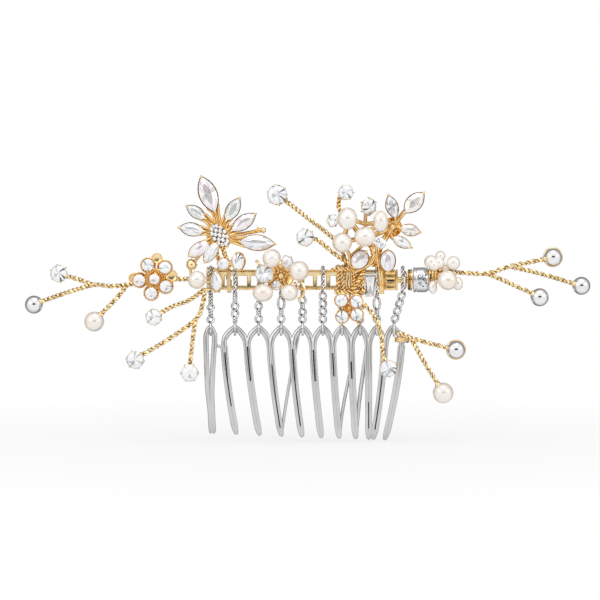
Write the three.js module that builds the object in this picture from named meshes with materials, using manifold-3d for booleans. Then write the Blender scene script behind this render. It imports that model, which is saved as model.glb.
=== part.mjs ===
// Decorative hair comb: a silver wire comb that carries a gold and pearl ornament on ten twisted ties.
// Millimetres, +Z up, front towards -Y, +X to the right of the front view.
// The origin is the middle of the comb, level with the lowest tooth tip.
import * as THREE from 'three';
import { mergeVertices } from 'three/addons/utils/BufferGeometryUtils.js';
import Module from 'manifold-3d';

const wasm = await Module();
wasm.setup();

// ---- driving dimensions -------------------------------------------------------------------------

// comb
const COMB_WIRE = 1.5;          // width of the rolled wire, seen from the front
const COMB_FLATNESS = 0.65;     // its depth as a share of its width
const PEAK_Z = 29.4;            // top of every arch
const JOINT_Z = 25.4;           // where neighbouring arches meet
const ARCH_COUNT = 9;           // open arches, right of the narrow end loop
const END_LOOP_X = -23.6;
const TIP_DROP = 1.5;           // the tips run lower from left to right by this much
const TOOTH_BOW = 1.8;          // the teeth bulge forwards by this much at half height
const TOOTH_SWEEP = 1.2;        // and their tips stand this much behind the arches
const HEAD_CURVE = 2.6;         // the outer tooth tips stand this much further back

// gallery bar and what is threaded on its right end
const BAR_LEFT = -24.6;
const BAR_RIGHT = 18;
const BAR_Z = 40.7;
const BAR_HEIGHT = 5;
const BAR_DEPTH = 1.2;
const WINDOW_PITCH = 3.3;
const TANG_RADIUS = 0.8;
const TANG_RIGHT = 32.2;

// twisted ties
const TIE_WIRE = 0.5;
const ARCH_LOOP_RADIUS = 1.7;   // loose round loop on the comb's arch
const EYELET_WIDTH = 1.6;       // between wire centres
const GAP = 0.3;                // between touching neighbours
const LOOP_HALF_DEPTH = BAR_DEPTH / 2 + GAP + TIE_WIRE / 2;
const LOOP_HALF_HEIGHT = BAR_HEIGHT / 2 + GAP + TIE_WIRE / 2;

// gold work, from the bar forwards
const SPRIG_WIRE = 1;
const RIB_WIRE = 0.9;
const FRAME_Y = -2.25;
const STONE_Y = -3;             // backs of the set stones
const BEND_START = 26;          // beyond this half width the sprigs curve back round the head
const BEND_SOFTNESS = 220;
const BALL_RADIUS = 2.25;
const CUP_RADIUS = 2.25;

// ---- finishes -----------------------------------------------------------------------------------

const gold = [0xe3b25c, 0.25, 1];
const paleGold = [0xeccb7d, 0.3, 1];
const silver = [0xc9ccd0, 0.15, 1];
const pearl = [0xf6ebe0, 0.3, 0];
const crystal = [0xe9eef2, 0.05, 0];
const blush = [0xf1dde2, 0.05, 0];
const mint = [0xdfeae2, 0.05, 0];
const peach = [0xf6e0cc, 0.05, 0];
const amber = [0x8a5a22, 0.3, 1];

const ornament = new THREE.Group();

function add(name, geometry, [color, roughness, metalness]) {
  const mesh = new THREE.Mesh(geometry, new THREE.MeshStandardMaterial({ color, roughness, metalness }));
  mesh.name = name;
  ornament.add(mesh);
  return mesh;
}

// ---- solids -------------------------------------------------------------------------------------

function toSolid(geometry) {
  const bare = geometry.clone();
  bare.deleteAttribute('normal');
  bare.deleteAttribute('uv');
  const merged = mergeVertices(bare, 1e-4);
  return new wasm.Manifold(new wasm.Mesh({
    numProp: 3,
    vertProperties: new Float32Array(merged.attributes.position.array),
    triVerts: new Uint32Array(merged.index.array),
  }));
}

function toGeometry(solid) {
  const { vertProperties, triVerts } = solid.getMesh();
  const geometry = new THREE.BufferGeometry();
  geometry.setAttribute('position', new THREE.BufferAttribute(new Float32Array(vertProperties), 3));
  geometry.setIndex(new THREE.BufferAttribute(new Uint32Array(triVerts), 1));
  return geometry;
}

function join(geometries) {
  return toGeometry(geometries.map(toSolid).reduce((whole, next) => whole.add(next)));
}

function cut(geometry, cutters) {
  return toGeometry(cutters.map(toSolid).reduce((rest, next) => rest.subtract(next), toSolid(geometry)));
}

function ringOutline(radius, sides) {
  const corners = Array.from({ length: sides }, (_, i) => {
    const turn = (2 * Math.PI * i) / sides;
    return new THREE.Vector2(radius * Math.cos(turn), radius * Math.sin(turn));
  });
  return new THREE.Shape(corners);
}

// A round wire through points given as [x, y, z].
function wire(points, diameter, steps = 2 * (points.length - 1), sides = 5) {
  const route = new THREE.CatmullRomCurve3(points.map((p) => new THREE.Vector3(...p)));
  return new THREE.ExtrudeGeometry(ringOutline(diameter / 2, sides), {
    steps, bevelEnabled: false, extrudePath: route,
  });
}

function bead(x, y, z, radius, stretch = [1, 1, 1]) {
  return new THREE.SphereGeometry(radius, 9, 7).scale(...stretch).translate(x, y, z);
}

// A disc that faces the front, its middle at the given depth.
function disc(x, z, radius, depth = 0.9, y = FRAME_Y) {
  return new THREE.CylinderGeometry(radius, radius, depth, 7).translate(x, y, z);
}

// A brilliant-cut stone with its metal cup, turned about Y; its back is at y and it faces the front.
function cupStone(x, z, radius, y) {
  const profile = [[0, 0], [0.7, 0], [1, 0.55], [0.6, 1], [0, 1]]
    .map(([r, forward]) => new THREE.Vector2(r * radius, -1.05 * forward * radius));
  return new THREE.LatheGeometry(profile.reverse(), 8).translate(x, y, z);
}

// A pointed (marquise) or rounded (oval) stone between two points [x, z], its back at y.
function longStone(base, tip, width, y, pointed) {
  const length = Math.hypot(tip[0] - base[0], tip[1] - base[1]);
  const outline = new THREE.Shape();
  if (pointed) {
    const bulge = width * 0.96;
    outline.moveTo(0, 0);
    outline.quadraticCurveTo(length / 2, -bulge, length, 0);
    outline.quadraticCurveTo(length / 2, bulge, 0, 0);
  } else {
    outline.absellipse(length / 2, 0, length / 2, width / 2, 0, 2 * Math.PI);
  }
  const bevel = width * 0.16;
  return new THREE.ExtrudeGeometry(outline, {
    depth: width * 0.12, curveSegments: pointed ? 5 : 12, steps: 1,
    bevelThickness: bevel, bevelSize: bevel, bevelOffset: -bevel, bevelSegments: 1,
  })
    .translate(0, 0, bevel)
    .rotateX(Math.PI / 2)
    .rotateY(-Math.atan2(tip[1] - base[1], tip[0] - base[0]))
    .translate(base[0], y, base[1]);
}

// The depth of the sprigs: level behind the flowers, then back round the head.
function sprigY(x) {
  return FRAME_Y + Math.max(0, Math.abs(x) - BEND_START) ** 2 / BEND_SOFTNESS;
}

// A turn of thin gold wire round the bar, with its end led to a point [x, y, z] of the piece it holds.
function binding(x, towards) {
  const near = Math.abs(towards[2] - BAR_Z) < BAR_HEIGHT / 2;
  const up = near ? towards[2] - BAR_Z : Math.sign(towards[2] - BAR_Z) * LOOP_HALF_HEIGHT;
  const leaves = near ? [x, -LOOP_HALF_DEPTH, BAR_Z + up] : [x, 0, BAR_Z + up];
  return [squareLoop().translate(x, 0, BAR_Z), wire([leaves, towards], 0.7, 1)];
}

// A sprig wire through points given as [x, z].
function sprigWire(points, steps) {
  return wire(points.map(([x, z]) => [x, sprigY(x), z]), SPRIG_WIRE, steps);
}

// ---- comb ---------------------------------------------------------------------------------------

const peakX = (i) => -17.5 + 6.05 * i - 0.14 * i * i;
const tipX = (i) => -17.25 + 6.02 * i - 0.17 * i * i;
const tipZ = (i) => TIP_DROP * (1 - i / (ARCH_COUNT - 1));

// The foot of the arches: the outer legs, and the joints between neighbours.
function jointX(i) {
  if (i === 0) return peakX(0) - 2.8;
  if (i === ARCH_COUNT) return peakX(ARCH_COUNT - 1) + 2.3;
  return (peakX(i - 1) + peakX(i)) / 2;
}

function archWire(left, peak, right) {
  const top = PEAK_Z - COMB_WIRE / 2;
  const knee = JOINT_Z + 0.5 * (top - JOINT_Z);
  return wire([
    [left, 0, JOINT_Z - 2], [left, 0, JOINT_Z - 0.4], [left + 0.32 * (peak - left), 0, knee],
    [peak - 0.35, 0, top - 0.2], [peak, 0, top], [peak + 0.35, 0, top - 0.2],
    [right - 0.32 * (right - peak), 0, knee], [right, 0, JOINT_Z - 0.4], [right, 0, JOINT_Z - 2],
  ], COMB_WIRE, 12);
}

function toothWire(topX, endX, endZ, radius = COMB_WIRE * 0.55) {
  const foot = endZ + radius;
  const height = JOINT_Z - 1.5 - foot;
  const points = [0, 0.33, 0.67, 1].map((down) => [
    topX + (endX - topX) * down ** 1.5, 0, foot + height * (1 - down),
  ]);
  return [wire(points, 2 * radius, 4), new THREE.SphereGeometry(radius, 6, 5).translate(endX, 0, foot)];
}

// The returning strand of a tooth, seen beside it where the wire opens out.
function backStrand(from, to) {
  const middle = [(from[0] + to[0]) / 2 - 0.3, 1.1, (from[1] + to[1]) / 2];
  return wire([[from[0], 0.1, from[1]], middle, [to[0], 0.1, to[1]]], 0.8, 4, 4);
}

// Bends the flat comb to follow the head behind it: the arches stay in line, the teeth bow.
function bendComb(geometry) {
  const at = geometry.attributes.position;
  for (let i = 0; i < at.count; i += 1) {
    const down = Math.min(1, Math.max(0, (JOINT_Z + 1 - at.getZ(i)) / (JOINT_Z + 1)));
    const outward = at.getX(i) / 24;
    const back = (TOOTH_SWEEP + HEAD_CURVE * outward * outward) * down - TOOTH_BOW * Math.sin(Math.PI * down);
    at.setY(i, at.getY(i) * COMB_FLATNESS + back);
  }
  return geometry;
}

function makeComb() {
  const parts = [];
  for (let i = 0; i < ARCH_COUNT; i += 1) {
    parts.push(archWire(jointX(i), peakX(i), jointX(i + 1)));
  }
  for (let i = 0; i < ARCH_COUNT - 1; i += 1) {
    parts.push(...toothWire(jointX(i), tipX(i), tipZ(i)));
  }
  parts.push(...toothWire(jointX(ARCH_COUNT), tipX(ARCH_COUNT - 1), tipZ(ARCH_COUNT - 1)));
  parts.push(backStrand([jointX(ARCH_COUNT - 1), JOINT_Z - 1.8], [tipX(7), tipZ(7) + 1.2]));
  parts.push(backStrand([jointX(7) - 0.4, JOINT_Z - 1.8], [tipX(6), tipZ(6) + 1.2]));
  parts.push(backStrand([jointX(6) - 0.9, 15.5], [tipX(5), tipZ(5) + 1.2]));
  parts.push(backStrand([peakX(3) - 0.9, JOINT_Z + 2.2], [tipX(2), tipZ(2) + 1.2]));

  // the narrow loop at the left end, and the saddle that ties it to the first arch behind
  const top = PEAK_Z - COMB_WIRE / 2;
  for (const side of [-1, 1]) {
    parts.push(wire([
      [END_LOOP_X, 0, top], [END_LOOP_X + side * 1.05, 0, top - 2.6],
      [END_LOOP_X + side * 0.95, 0, 13], [END_LOOP_X + 0.2, 0, TIP_DROP + 1.2],
    ], COMB_WIRE * 0.62, 8));
  }
  parts.push(new THREE.SphereGeometry(COMB_WIRE * 0.5, 6, 6).translate(END_LOOP_X, 0, top));
  parts.push(new THREE.SphereGeometry(COMB_WIRE * 0.6, 6, 6).translate(END_LOOP_X + 0.2, 0, TIP_DROP + 0.9));
  parts.push(wire([[END_LOOP_X + 1, 0, 24.6], [-22, 0.6, 24.2], [jointX(0), 0, 23.8]], 0.8, 4));
  add('comb_wire', bendComb(join(parts)), silver);
}

// ---- ties ---------------------------------------------------------------------------------------

// A closed wire loop that fits round the bar, in the YZ plane.
function squareLoop() {
  const loop = new THREE.TorusGeometry(1, TIE_WIRE / 2, 4, 8).rotateY(Math.PI / 2);
  const at = loop.attributes.position;
  for (let i = 0; i < at.count; i += 1) {
    const turn = Math.atan2(at.getZ(i), at.getY(i));
    const out = Math.hypot(at.getZ(i), at.getY(i)) - 1;
    const across = Math.sign(Math.cos(turn)) * Math.abs(Math.cos(turn)) ** 0.35;
    const up = Math.sign(Math.sin(turn)) * Math.abs(Math.sin(turn)) ** 0.35;
    at.setY(i, across * LOOP_HALF_DEPTH + out * Math.cos(turn));
    at.setZ(i, up * LOOP_HALF_HEIGHT + out * Math.sin(turn));
  }
  return loop;
}

// An eyelet between two twists, open to the front.
function eyelet(x, z, height) {
  return new THREE.TorusGeometry(EYELET_WIDTH / 2, TIE_WIRE / 2, 4, 6)
    .scale(1, height / EYELET_WIDTH, 1)
    .rotateX(Math.PI / 2)
    .translate(x, 0, z);
}

// Leans a tie sideways between its arch loop and its bar loop.
function lean(geometry, low, high, sideways) {
  const at = geometry.attributes.position;
  for (let i = 0; i < at.count; i += 1) {
    const up = Math.min(1, Math.max(0, (at.getZ(i) - low) / (high - low)));
    at.setX(i, at.getX(i) + up * sideways);
  }
  return geometry;
}

// One twisted wire: round the bar, three eyelets, round the arch.
function makeTie(number, x, sideways = 0) {
  const high = BAR_Z - LOOP_HALF_HEIGHT;
  const low = PEAK_Z - COMB_WIRE * 0.65 + ARCH_LOOP_RADIUS;
  const eyeletHeight = (high - low) / 3;
  const parts = [
    squareLoop().translate(x, 0, BAR_Z),
    new THREE.TorusGeometry(ARCH_LOOP_RADIUS, TIE_WIRE / 2, 4, 8)
      .rotateY(Math.PI / 2)
      .translate(x, 0, low - ARCH_LOOP_RADIUS),
  ];
  for (let i = 0; i < 3; i += 1) {
    parts.push(eyelet(x, low + (i + 0.5) * eyeletHeight, eyeletHeight));
  }
  const name = `tie_${String(number).padStart(2, '0')}`;
  add(name, lean(join(parts), low, high - TIE_WIRE, sideways), silver);
}

function makeTies() {
  makeTie(1, END_LOOP_X);
  for (let i = 0; i < ARCH_COUNT; i += 1) {
    makeTie(i + 2, peakX(i), i === ARCH_COUNT - 1 ? 1.9 : 0);
  }
}

// ---- bar ----------------------------------------------------------------------------------------

function makeBar() {
  const length = BAR_RIGHT - BAR_LEFT;
  const strip = new THREE.BoxGeometry(length, BAR_DEPTH, BAR_HEIGHT)
    .translate((BAR_LEFT + BAR_RIGHT) / 2, 0, BAR_Z);
  const tang = new THREE.CylinderGeometry(TANG_RADIUS, TANG_RADIUS, TANG_RIGHT - BAR_RIGHT + 1, 8)
    .rotateZ(Math.PI / 2)
    .translate((TANG_RIGHT + BAR_RIGHT - 1) / 2, 0, BAR_Z);
  tang.scale(1, 0.7, 1);
  const windows = [];
  for (let x = BAR_LEFT + 1.2; x + 2.4 < BAR_RIGHT - 0.8; x += WINDOW_PITCH) {
    windows.push(new THREE.BoxGeometry(2.3, 2 * BAR_DEPTH, 2.5).translate(x + 1.15, 0, BAR_Z - 0.2));
  }
  add('gallery_bar', cut(join([strip, tang]), windows), gold);
}

// A ring turned about the tang, from a profile of [radius, x] corners.
function threaded(profile, sides = 12) {
  const outline = [...profile, profile[0]].reverse().map(([r, x]) => new THREE.Vector2(r, x));
  return new THREE.LatheGeometry(outline, sides)
    .rotateZ(-Math.PI / 2)
    .translate(0, 0, BAR_Z);
}

function makeThreadedPieces() {
  const bore = TANG_RADIUS + GAP;
  const sleeve = new THREE.BoxGeometry(4.8, 2.6, 5.2).translate(20.8, 0, BAR_Z);
  const hole = new THREE.CylinderGeometry(bore, bore, 6, 10).rotateZ(Math.PI / 2).translate(20.8, 0, BAR_Z);
  add('bar_sleeve', cut(sleeve, [hole]), gold);
  add('spacer_bead', threaded([[bore, 24.5], [bore, 25.4], [2, 25.4], [2.4, 24.95], [2, 24.5]]), paleGold);
  add('end_ring', threaded([[bore, 25.7], [bore, 26.8], [2.7, 26.8], [2.7, 25.7]]), amber);
  add('barrel_bead', threaded([
    [bore, 27.1], [bore, 31], [2.7, 31], [3, 30.4], [3.1, 29.05], [3, 27.7], [2.7, 27.1],
  ], 14), silver);
}

// The clear tapered stone that sits on the front of the bar.
function makeKeystone() {
  const outline = new THREE.Shape();
  outline.moveTo(14.9, BAR_Z - 5);
  outline.lineTo(17.1, BAR_Z - 5);
  outline.lineTo(17.5, BAR_Z + 1.4);
  outline.lineTo(14.3, BAR_Z + 1.4);
  outline.closePath();
  const stone = new THREE.ExtrudeGeometry(outline, {
    depth: 0.6, steps: 1, bevelThickness: 0.5, bevelSize: 0.5, bevelOffset: -0.5, bevelSegments: 1,
  }).rotateX(Math.PI / 2);
  add('keystone_stone', stone.translate(0, -1.5, 0), crystal);
}

// ---- left side ----------------------------------------------------------------------------------

// A cup stone on a sprig, at the sprig's depth.
const sprigStone = (x, z, radius = CUP_RADIUS) => cupStone(x, z, radius, sprigY(x) + 0.5 * SPRIG_WIRE);

// The trunk runs on behind the left flower and is bound on the end of the bar.
function makeLeftSprig() {
  const behind = 1.45;
  const trunk = [[-65.8, 35.2, 0], [-59, 37.6, 0], [-52.8, 39.4, 0], [-48.5, 39.1, 0.2], [-43.5, 39.6, behind],
    [-37.6, 41, behind], [-31, 40.9, behind], [-27, 41.2, behind]];
  const pearlBranch = [[-50.6, 32.5, 0], [-47.4, 35.8, 0.2], [-45, 39.2, 0.9]];
  add('left_sprig', join([
    wire(trunk.map(([x, z, back]) => [x, sprigY(x) + back, z]), SPRIG_WIRE),
    ...binding(BAR_LEFT + 0.15, [-27.4, FRAME_Y + behind, 41.2]),
    wire([[-28.3, FRAME_Y, 44.2], [-28.6, FRAME_Y + 0.6, 42.6], [-28, FRAME_Y + 0.9, 41.4]], RIB_WIRE, 3),
    bead(-28.3, FRAME_Y - 0.3, 44.6, 1.3),
    sprigWire([[-60.7, 41.7], [-57, 40.8], [-52.8, 39.3]], 6),
    wire(pearlBranch.map(([x, z, back]) => [x, sprigY(x) + back, z]), SPRIG_WIRE, 6),
    sprigStone(-61.5, 42.1),
  ]), gold);
  add('left_sprig_ball', bead(-68.1, sprigY(-68.1), 34.2, BALL_RADIUS), silver);
  add('left_sprig_pearl', bead(-52.7, sprigY(-52.7), 30.2, 2.45), pearl);
}

// petal centres from the middle of the flower
const LEFT_PETALS = [[2.6, 2.8], [-1.6, 3.4], [-3.7, -0.3], [-0.8, -3.5], [2.8, -1.8]];

function makeLeftFlower() {
  const [x, z] = [-37.6, 41];
  const y = sprigY(x);
  const parts = [disc(x, z, 2.6, 0.9, y), cupStone(x, z, 1.4, y - 0.3)];
  for (const [dx, dz] of LEFT_PETALS) {
    parts.push(disc(x + dx, z + dz, 1.9, 0.9, y), cupStone(x + dx, z + dz, 1.6, y - 0.3));
  }
  parts.push(disc(x + 0.6, z + 5.1, 1.3, 0.7, y), disc(x + 4.2, z + 0.7, 1.5, 0.7, y));
  parts.push(disc(x - 5.2, z + 0.2, 1.2, 0.7, y));
  parts.push(new THREE.TorusGeometry(1.3, 0.3, 4, 8).rotateY(Math.PI / 2).translate(x, y + 1.45, z));
  add('left_flower', join(parts), gold);
}

function makeBarEnd() {
  add('bar_end_pearl', bead(-26.9, FRAME_Y - 2.2, 40.9, 2.2), pearl);
  add('drop_stone', longStone([-22, 38], [-22.2, 43.4], 3.3, -1.8, false), crystal);
}

function makeLowerLeftSprig() {
  add('lower_left_sprig', join([
    ...binding(-22.7, [-24.9, FRAME_Y, 38.4]),
    sprigWire([[-24.9, 38.6], [-28.7, 35.8], [-33.2, 34.1], [-36.5, 32.2]]),
    sprigWire([[-24.9, 38.6], [-25.7, 34.2], [-27.4, 30.8], [-34, 26], [-41, 21.8]]),
    sprigWire([[-27.4, 30.8], [-28, 26.2], [-28.8, 19.2]], 6),
    sprigStone(-37.7, 31.4, 2.1), sprigStone(-42.3, 20.8, 2.3), sprigStone(-28.9, 17.7),
  ]), gold);
}

// name, base [x, z], tip [x, z], width, colour
const LEAF_STONES = [
  ['leaf_stone_top', [-22.3, 57.5], [-25.9, 66.6], 4.7, blush],
  ['leaf_stone_upper_left', [-24.6, 56], [-29.5, 59.3], 3, mint],
  ['leaf_stone_left', [-24.9, 53], [-31.4, 53.9], 3.5, crystal],
  ['leaf_stone_lower_left', [-22.3, 49.4], [-29, 47.6], 4.6, blush],
  ['leaf_stone_upper_right', [-19.8, 55.4], [-16.3, 61.2], 3.4, mint],
  ['leaf_stone_right', [-18.5, 53], [-12.3, 57.3], 3.6, blush],
  ['leaf_stone_lower_right', [-16.6, 50.5], [-7.5, 49.8], 4.1, crystal],
];

// A rib behind a stone, from the hub to most of the way along it.
function rib(hub, base, tip, reach = 0.85) {
  const end = [base[0] + reach * (tip[0] - base[0]), base[1] + reach * (tip[1] - base[1])];
  return wire([hub, base, end].map(([x, z]) => [x, FRAME_Y, z]), RIB_WIRE, 2);
}

function makeLeafSpray() {
  const hub = [-21.2, 52];
  const parts = LEAF_STONES.map(([, base, tip]) => rib(hub, base, tip));
  parts.push(longStone([-23.3, 54.8], [-19.3, 49.2], 3.7, STONE_Y + 0.6, false));
  parts.push(disc(hub[0], hub[1], 1.8));
  parts.push(wire([hub, [-20.3, 48], [-18.8, 43.9]].map(([x, z]) => [x, FRAME_Y, z]), RIB_WIRE, 3));
  parts.push(wire([hub, [-16.4, 52.2], [-10.6, 53.2]].map(([x, z]) => [x, FRAME_Y - 0.2, z]), RIB_WIRE, 3));
  parts.push(bead(-10.3, FRAME_Y - 0.2, 53.2, 0.8));
  parts.push(disc(-20.3, 44.8, 1.7), cupStone(-20.3, 44.8, 1.5, FRAME_Y - 0.3));
  parts.push(disc(-16.5, 45.3, 1.9), cupStone(-16.5, 45.3, 1.75, FRAME_Y - 0.3));
  parts.push(disc(-18.5, 45, 0.9), ...binding(-19.3, [-19, FRAME_Y, 44.4]));
  add('leaf_frame', join(parts), gold);
  for (const [name, base, tip, width, finish] of LEAF_STONES) {
    add(name, longStone(base, tip, width, STONE_Y, true), finish);
  }
}

// ---- centre flower ------------------------------------------------------------------------------

// name, x, z, radius, stretch
const CENTRE_PEARLS = [
  ['centre_pearl_top', -8.2, 46.3, 2.4, [1, 1, 1]],
  ['centre_pearl_right', -1.4, 43.2, 2.55, [1, 1, 1]],
  ['centre_pearl_lower_left', -10.4, 37.7, 2.25, [1.18, 1, 1]],
  ['centre_pearl_lower_right', -3.8, 37.8, 2.15, [1.05, 1, 1]],
];

function makeCentreFlower() {
  const [x, z] = [-6, 41.8];
  const parts = [disc(x, z, 2.6), bead(x, FRAME_Y - 1, z, 0.9)];
  for (const [name, px, pz, radius, stretch] of CENTRE_PEARLS) {
    parts.push(disc(px, pz, 0.75 * radius, 0.9));
    parts.push(wire([[x, FRAME_Y, z], [px, FRAME_Y, pz]], RIB_WIRE, 1));
    add(name, bead(px, STONE_Y - radius, pz, radius, stretch), pearl);
  }
  parts.push(disc(-9.9, 42.2, 1.9), cupStone(-9.9, 42.2, 2.15, FRAME_Y - 0.3));
  parts.push(wire([[x, FRAME_Y, z], [-9.9, FRAME_Y, 42.2]], RIB_WIRE, 1));
  parts.push(cupStone(-7, 39.6, 1.1, FRAME_Y - 0.3));
  parts.push(cupStone(-4.9, 45, 1.1, FRAME_Y - 0.3));
  parts.push(wire([[x, FRAME_Y, z], [-4.9, FRAME_Y, 45.2]], RIB_WIRE, 1));
  parts.push(...binding(-9, [-9, FRAME_Y, 41.8]), ...binding(-4.4, [-4.4, FRAME_Y, 42.4]));
  add('centre_flower_frame', join(parts), gold);
}

function makeMiddleStems() {
  const y = FRAME_Y;
  add('long_stem', join([
    wire([[-6, y, 61.3], [0, y, 56.8], [5.6, y + 0.2, 52.4], [8.6, y + 1.4, 49.4], [10.1, 0, 45.4],
      [10.35, 0, 43.6]], SPRIG_WIRE, 9),
    squareLoop().translate(10.35, 0, BAR_Z),
    cupStone(-6.8, 61.9, 2.6, y + 0.5),
  ]), gold);
  add('short_stem', join([
    wire([[0.9, y, 51.2], [3.2, y, 50.7], [7.4, y, 47.3], [11, y + 0.4, 44.8]], SPRIG_WIRE, 7),
    ...binding(11.7, [11, y + 0.4, 44.8]),
    cupStone(0.2, 51.4, 2.25, y + 0.5),
  ]), gold);
}

// ---- right side ---------------------------------------------------------------------------------

const RIGHT_PEARLS = [
  ['right_pearl_top', 10.6, 56.2, 2.6, [1, 1, 1.1]],
  ['right_pearl_left', 9.3, 50.2, 2.55, [1, 1, 1]],
  ['right_pearl_middle', 15, 51.7, 2.55, [1.08, 1, 1]],
  ['right_pearl_oval', 18.9, 55.5, 1.95, [1, 1, 1.4]],
];

const RIGHT_STONES = [
  ['right_stone_top', [22.6, 56], [20.8, 61.9], 3.2, crystal],
  ['right_stone_upper', [24.6, 57.5], [29.6, 62.5], 4.1, peach],
  ['right_stone_side', [23.4, 53.9], [28.7, 52.7], 3.1, peach],
  ['right_stone_lower', [21.6, 51.6], [26.5, 49], 2.8, crystal],
];

function makeRightSpray() {
  const hub = [21.8, 54];
  const y = FRAME_Y;
  const parts = RIGHT_STONES.map(([, base, tip]) => rib(hub, base, tip));
  parts.push(disc(hub[0], hub[1], 1.5, 1.2));
  for (const [name, px, pz, radius, stretch] of RIGHT_PEARLS) {
    parts.push(disc(px, pz, 0.6 * radius));
    add(name, bead(px, STONE_Y - radius, pz, radius, stretch), pearl);
  }
  parts.push(wire([[10.6, y, 56.3], [15, y, 51.7], [21.8, y, 54]], RIB_WIRE, 6));
  parts.push(wire([[15, y, 51.7], [19, y, 55.6]], RIB_WIRE, 1));
  parts.push(wire([[15, y, 51.7], [11.7, y, 50.7], [9.6, y, 50.3]], RIB_WIRE, 2));
  parts.push(wire([[21.8, y, 54], [19.2, y, 49.6], [18, y, 44]], RIB_WIRE, 6));
  parts.push(wire([[18.8, y, 49], [17, y, 46.4], [14.4, y, 44.4], [13, y + 0.6, 44.2]], RIB_WIRE, 5));
  parts.push(...binding(12.5, [13, y + 0.6, 44.2]));
  parts.push(wire([[18.4, y, 46.4], [20.4, y, 45.6]], RIB_WIRE, 1), disc(20.6, 45.6, 1.3));
  parts.push(wire([[17.2, y, 46.6], [14, y, 46]], RIB_WIRE, 1), disc(13.8, 46, 1.1));
  parts.push(wire([[10.6, y, 56.3], [8.5, y, 58.6], [8.9, y, 62]], RIB_WIRE, 5));
  parts.push(cupStone(10.3, 62.6, 1.95, y + 0.5), cupStone(15.3, 59.2, 2.1, y + 0.5));
  parts.push(wire([[14.9, y, 52], [15.2, y, 59]], RIB_WIRE, 1));
  add('right_frame', join(parts), gold);
  for (const [name, base, tip, width, finish] of RIGHT_STONES) {
    add(name, longStone(base, tip, width, STONE_Y, true), finish);
  }
  add('oval_stone_right', longStone([20.6, 42.9], [20.6, 48.3], 4, STONE_Y, false), blush);
  add('oval_stone_left', longStone([12, 43.9], [15.2, 47.9], 4.4, STONE_Y, false), blush);
}

function makeLowerFlower() {
  const [x, z] = [11, 33.8];
  const y = FRAME_Y - 0.7;
  const parts = [disc(x, z, 1.5, 0.9, y)];
  for (const [dx, dz] of [[-1.9, 1.9], [1.8, 1.6], [-1.7, -2.1], [1.9, -1.6]]) {
    parts.push(disc(x + dx, z + dz, 1.7, 0.9, y), cupStone(x + dx, z + dz, 1.6, y - 0.3));
  }
  parts.push(wire([
    [x + 1.5, y, z + 2], [14, y, 35.2], [16.2, y, 33.2], [17.9, y - 0.4, 30.6], [19, y - 0.6, 27],
    [19.4, y - 0.6, 22], [20.2, y - 0.5, 19.2],
  ], SPRIG_WIRE, 10));
  parts.push(cupStone(20.7, 18.8, 2.2, y - 0.1));
  parts.push(...binding(11.05, [11.4, y, 35]));
  add('lower_flower', join(parts), gold);
}

function makeRightSprigs() {
  const turn = new THREE.TorusGeometry(1.55, 0.4, 5, 8).rotateY(Math.PI / 2).translate(31.8, 0, BAR_Z);
  add('right_sprig', join([
    turn,
    wire([[31.9, 0, BAR_Z + 1.5], [34, -0.4, 43], [36, -1.2, 43], [38, -1.8, 42.6]], SPRIG_WIRE, 6),
    sprigWire([[38, 42.6], [45.4, 42.3], [51.2, 44], [60, 45.8]]),
    sprigWire([[51.2, 44], [58.7, 42.2], [67.2, 39.5]], 6),
    sprigWire([[45.4, 42.3], [49.5, 40.6], [56.5, 37.4]], 6),
  ]), gold);
  add('right_ball_top', bead(62.3, sprigY(62.3), 46.2, BALL_RADIUS), silver);
  add('right_ball_end', bead(69.6, sprigY(69.6), 38.9, BALL_RADIUS), silver);
  add('right_ball_low', bead(58.9, sprigY(58.9), 36.2, BALL_RADIUS), silver);
  add('cluster_pearl_large', bead(35.6, -4.4, 40.8, 2.4), pearl);
  add('cluster_pearl_baroque', join([
    bead(31.4, -2.9, 45.3, 1.7), bead(33.3, -2.6, 45, 1.55), bead(33.8, -2, 46.8, 1.25),
  ]), pearl);
}

// The lower right sprig is wound round the comb's last leg.
function makeLowerRightSprig() {
  const legX = jointX(ARCH_COUNT);
  const turns = [25.7, 25].map((z) => new THREE.TorusGeometry(1.5, 0.45, 5, 8).translate(legX, 0.1, z));
  const y = FRAME_Y + 0.3;
  add('lower_right_sprig', join([
    ...turns,
    wire([[legX + 1.2, -0.7, 25.8], [27.2, y, 26], [32, y, 24.7], [35.3, y, 23.9]], SPRIG_WIRE, 8),
    wire([[26.9, y, 25.9], [29.2, y, 21.2], [33, y, 15]], SPRIG_WIRE, 6),
  ]), gold);
  add('lower_right_ball', bead(37.8, y, 23.3, BALL_RADIUS), silver);
  add('lower_right_pearl', bead(34.6, y, 12.5, 2.55), pearl);
}

makeComb();
makeTies();
makeBar();
makeThreadedPieces();
makeKeystone();
makeLeftSprig();
makeLeftFlower();
makeBarEnd();
makeLowerLeftSprig();
makeLeafSpray();
makeCentreFlower();
makeMiddleStems();
makeRightSpray();
makeLowerFlower();
makeRightSprigs();
makeLowerRightSprig();

export default ornament;
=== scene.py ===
"""Decorative hair comb: the fine surface of a silver wire comb and its gold, pearl and crystal ornament.

Every piece is shaped on the bench in millimetres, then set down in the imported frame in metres.
The front of the ornament looks towards -Y.
"""

from __future__ import annotations

import logging
import math
import random
from collections.abc import Callable
from dataclasses import dataclass, field
from enum import Enum

import bmesh
import bpy
from mathutils import Euler, Matrix, Vector
from mathutils.kdtree import KDTree


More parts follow.
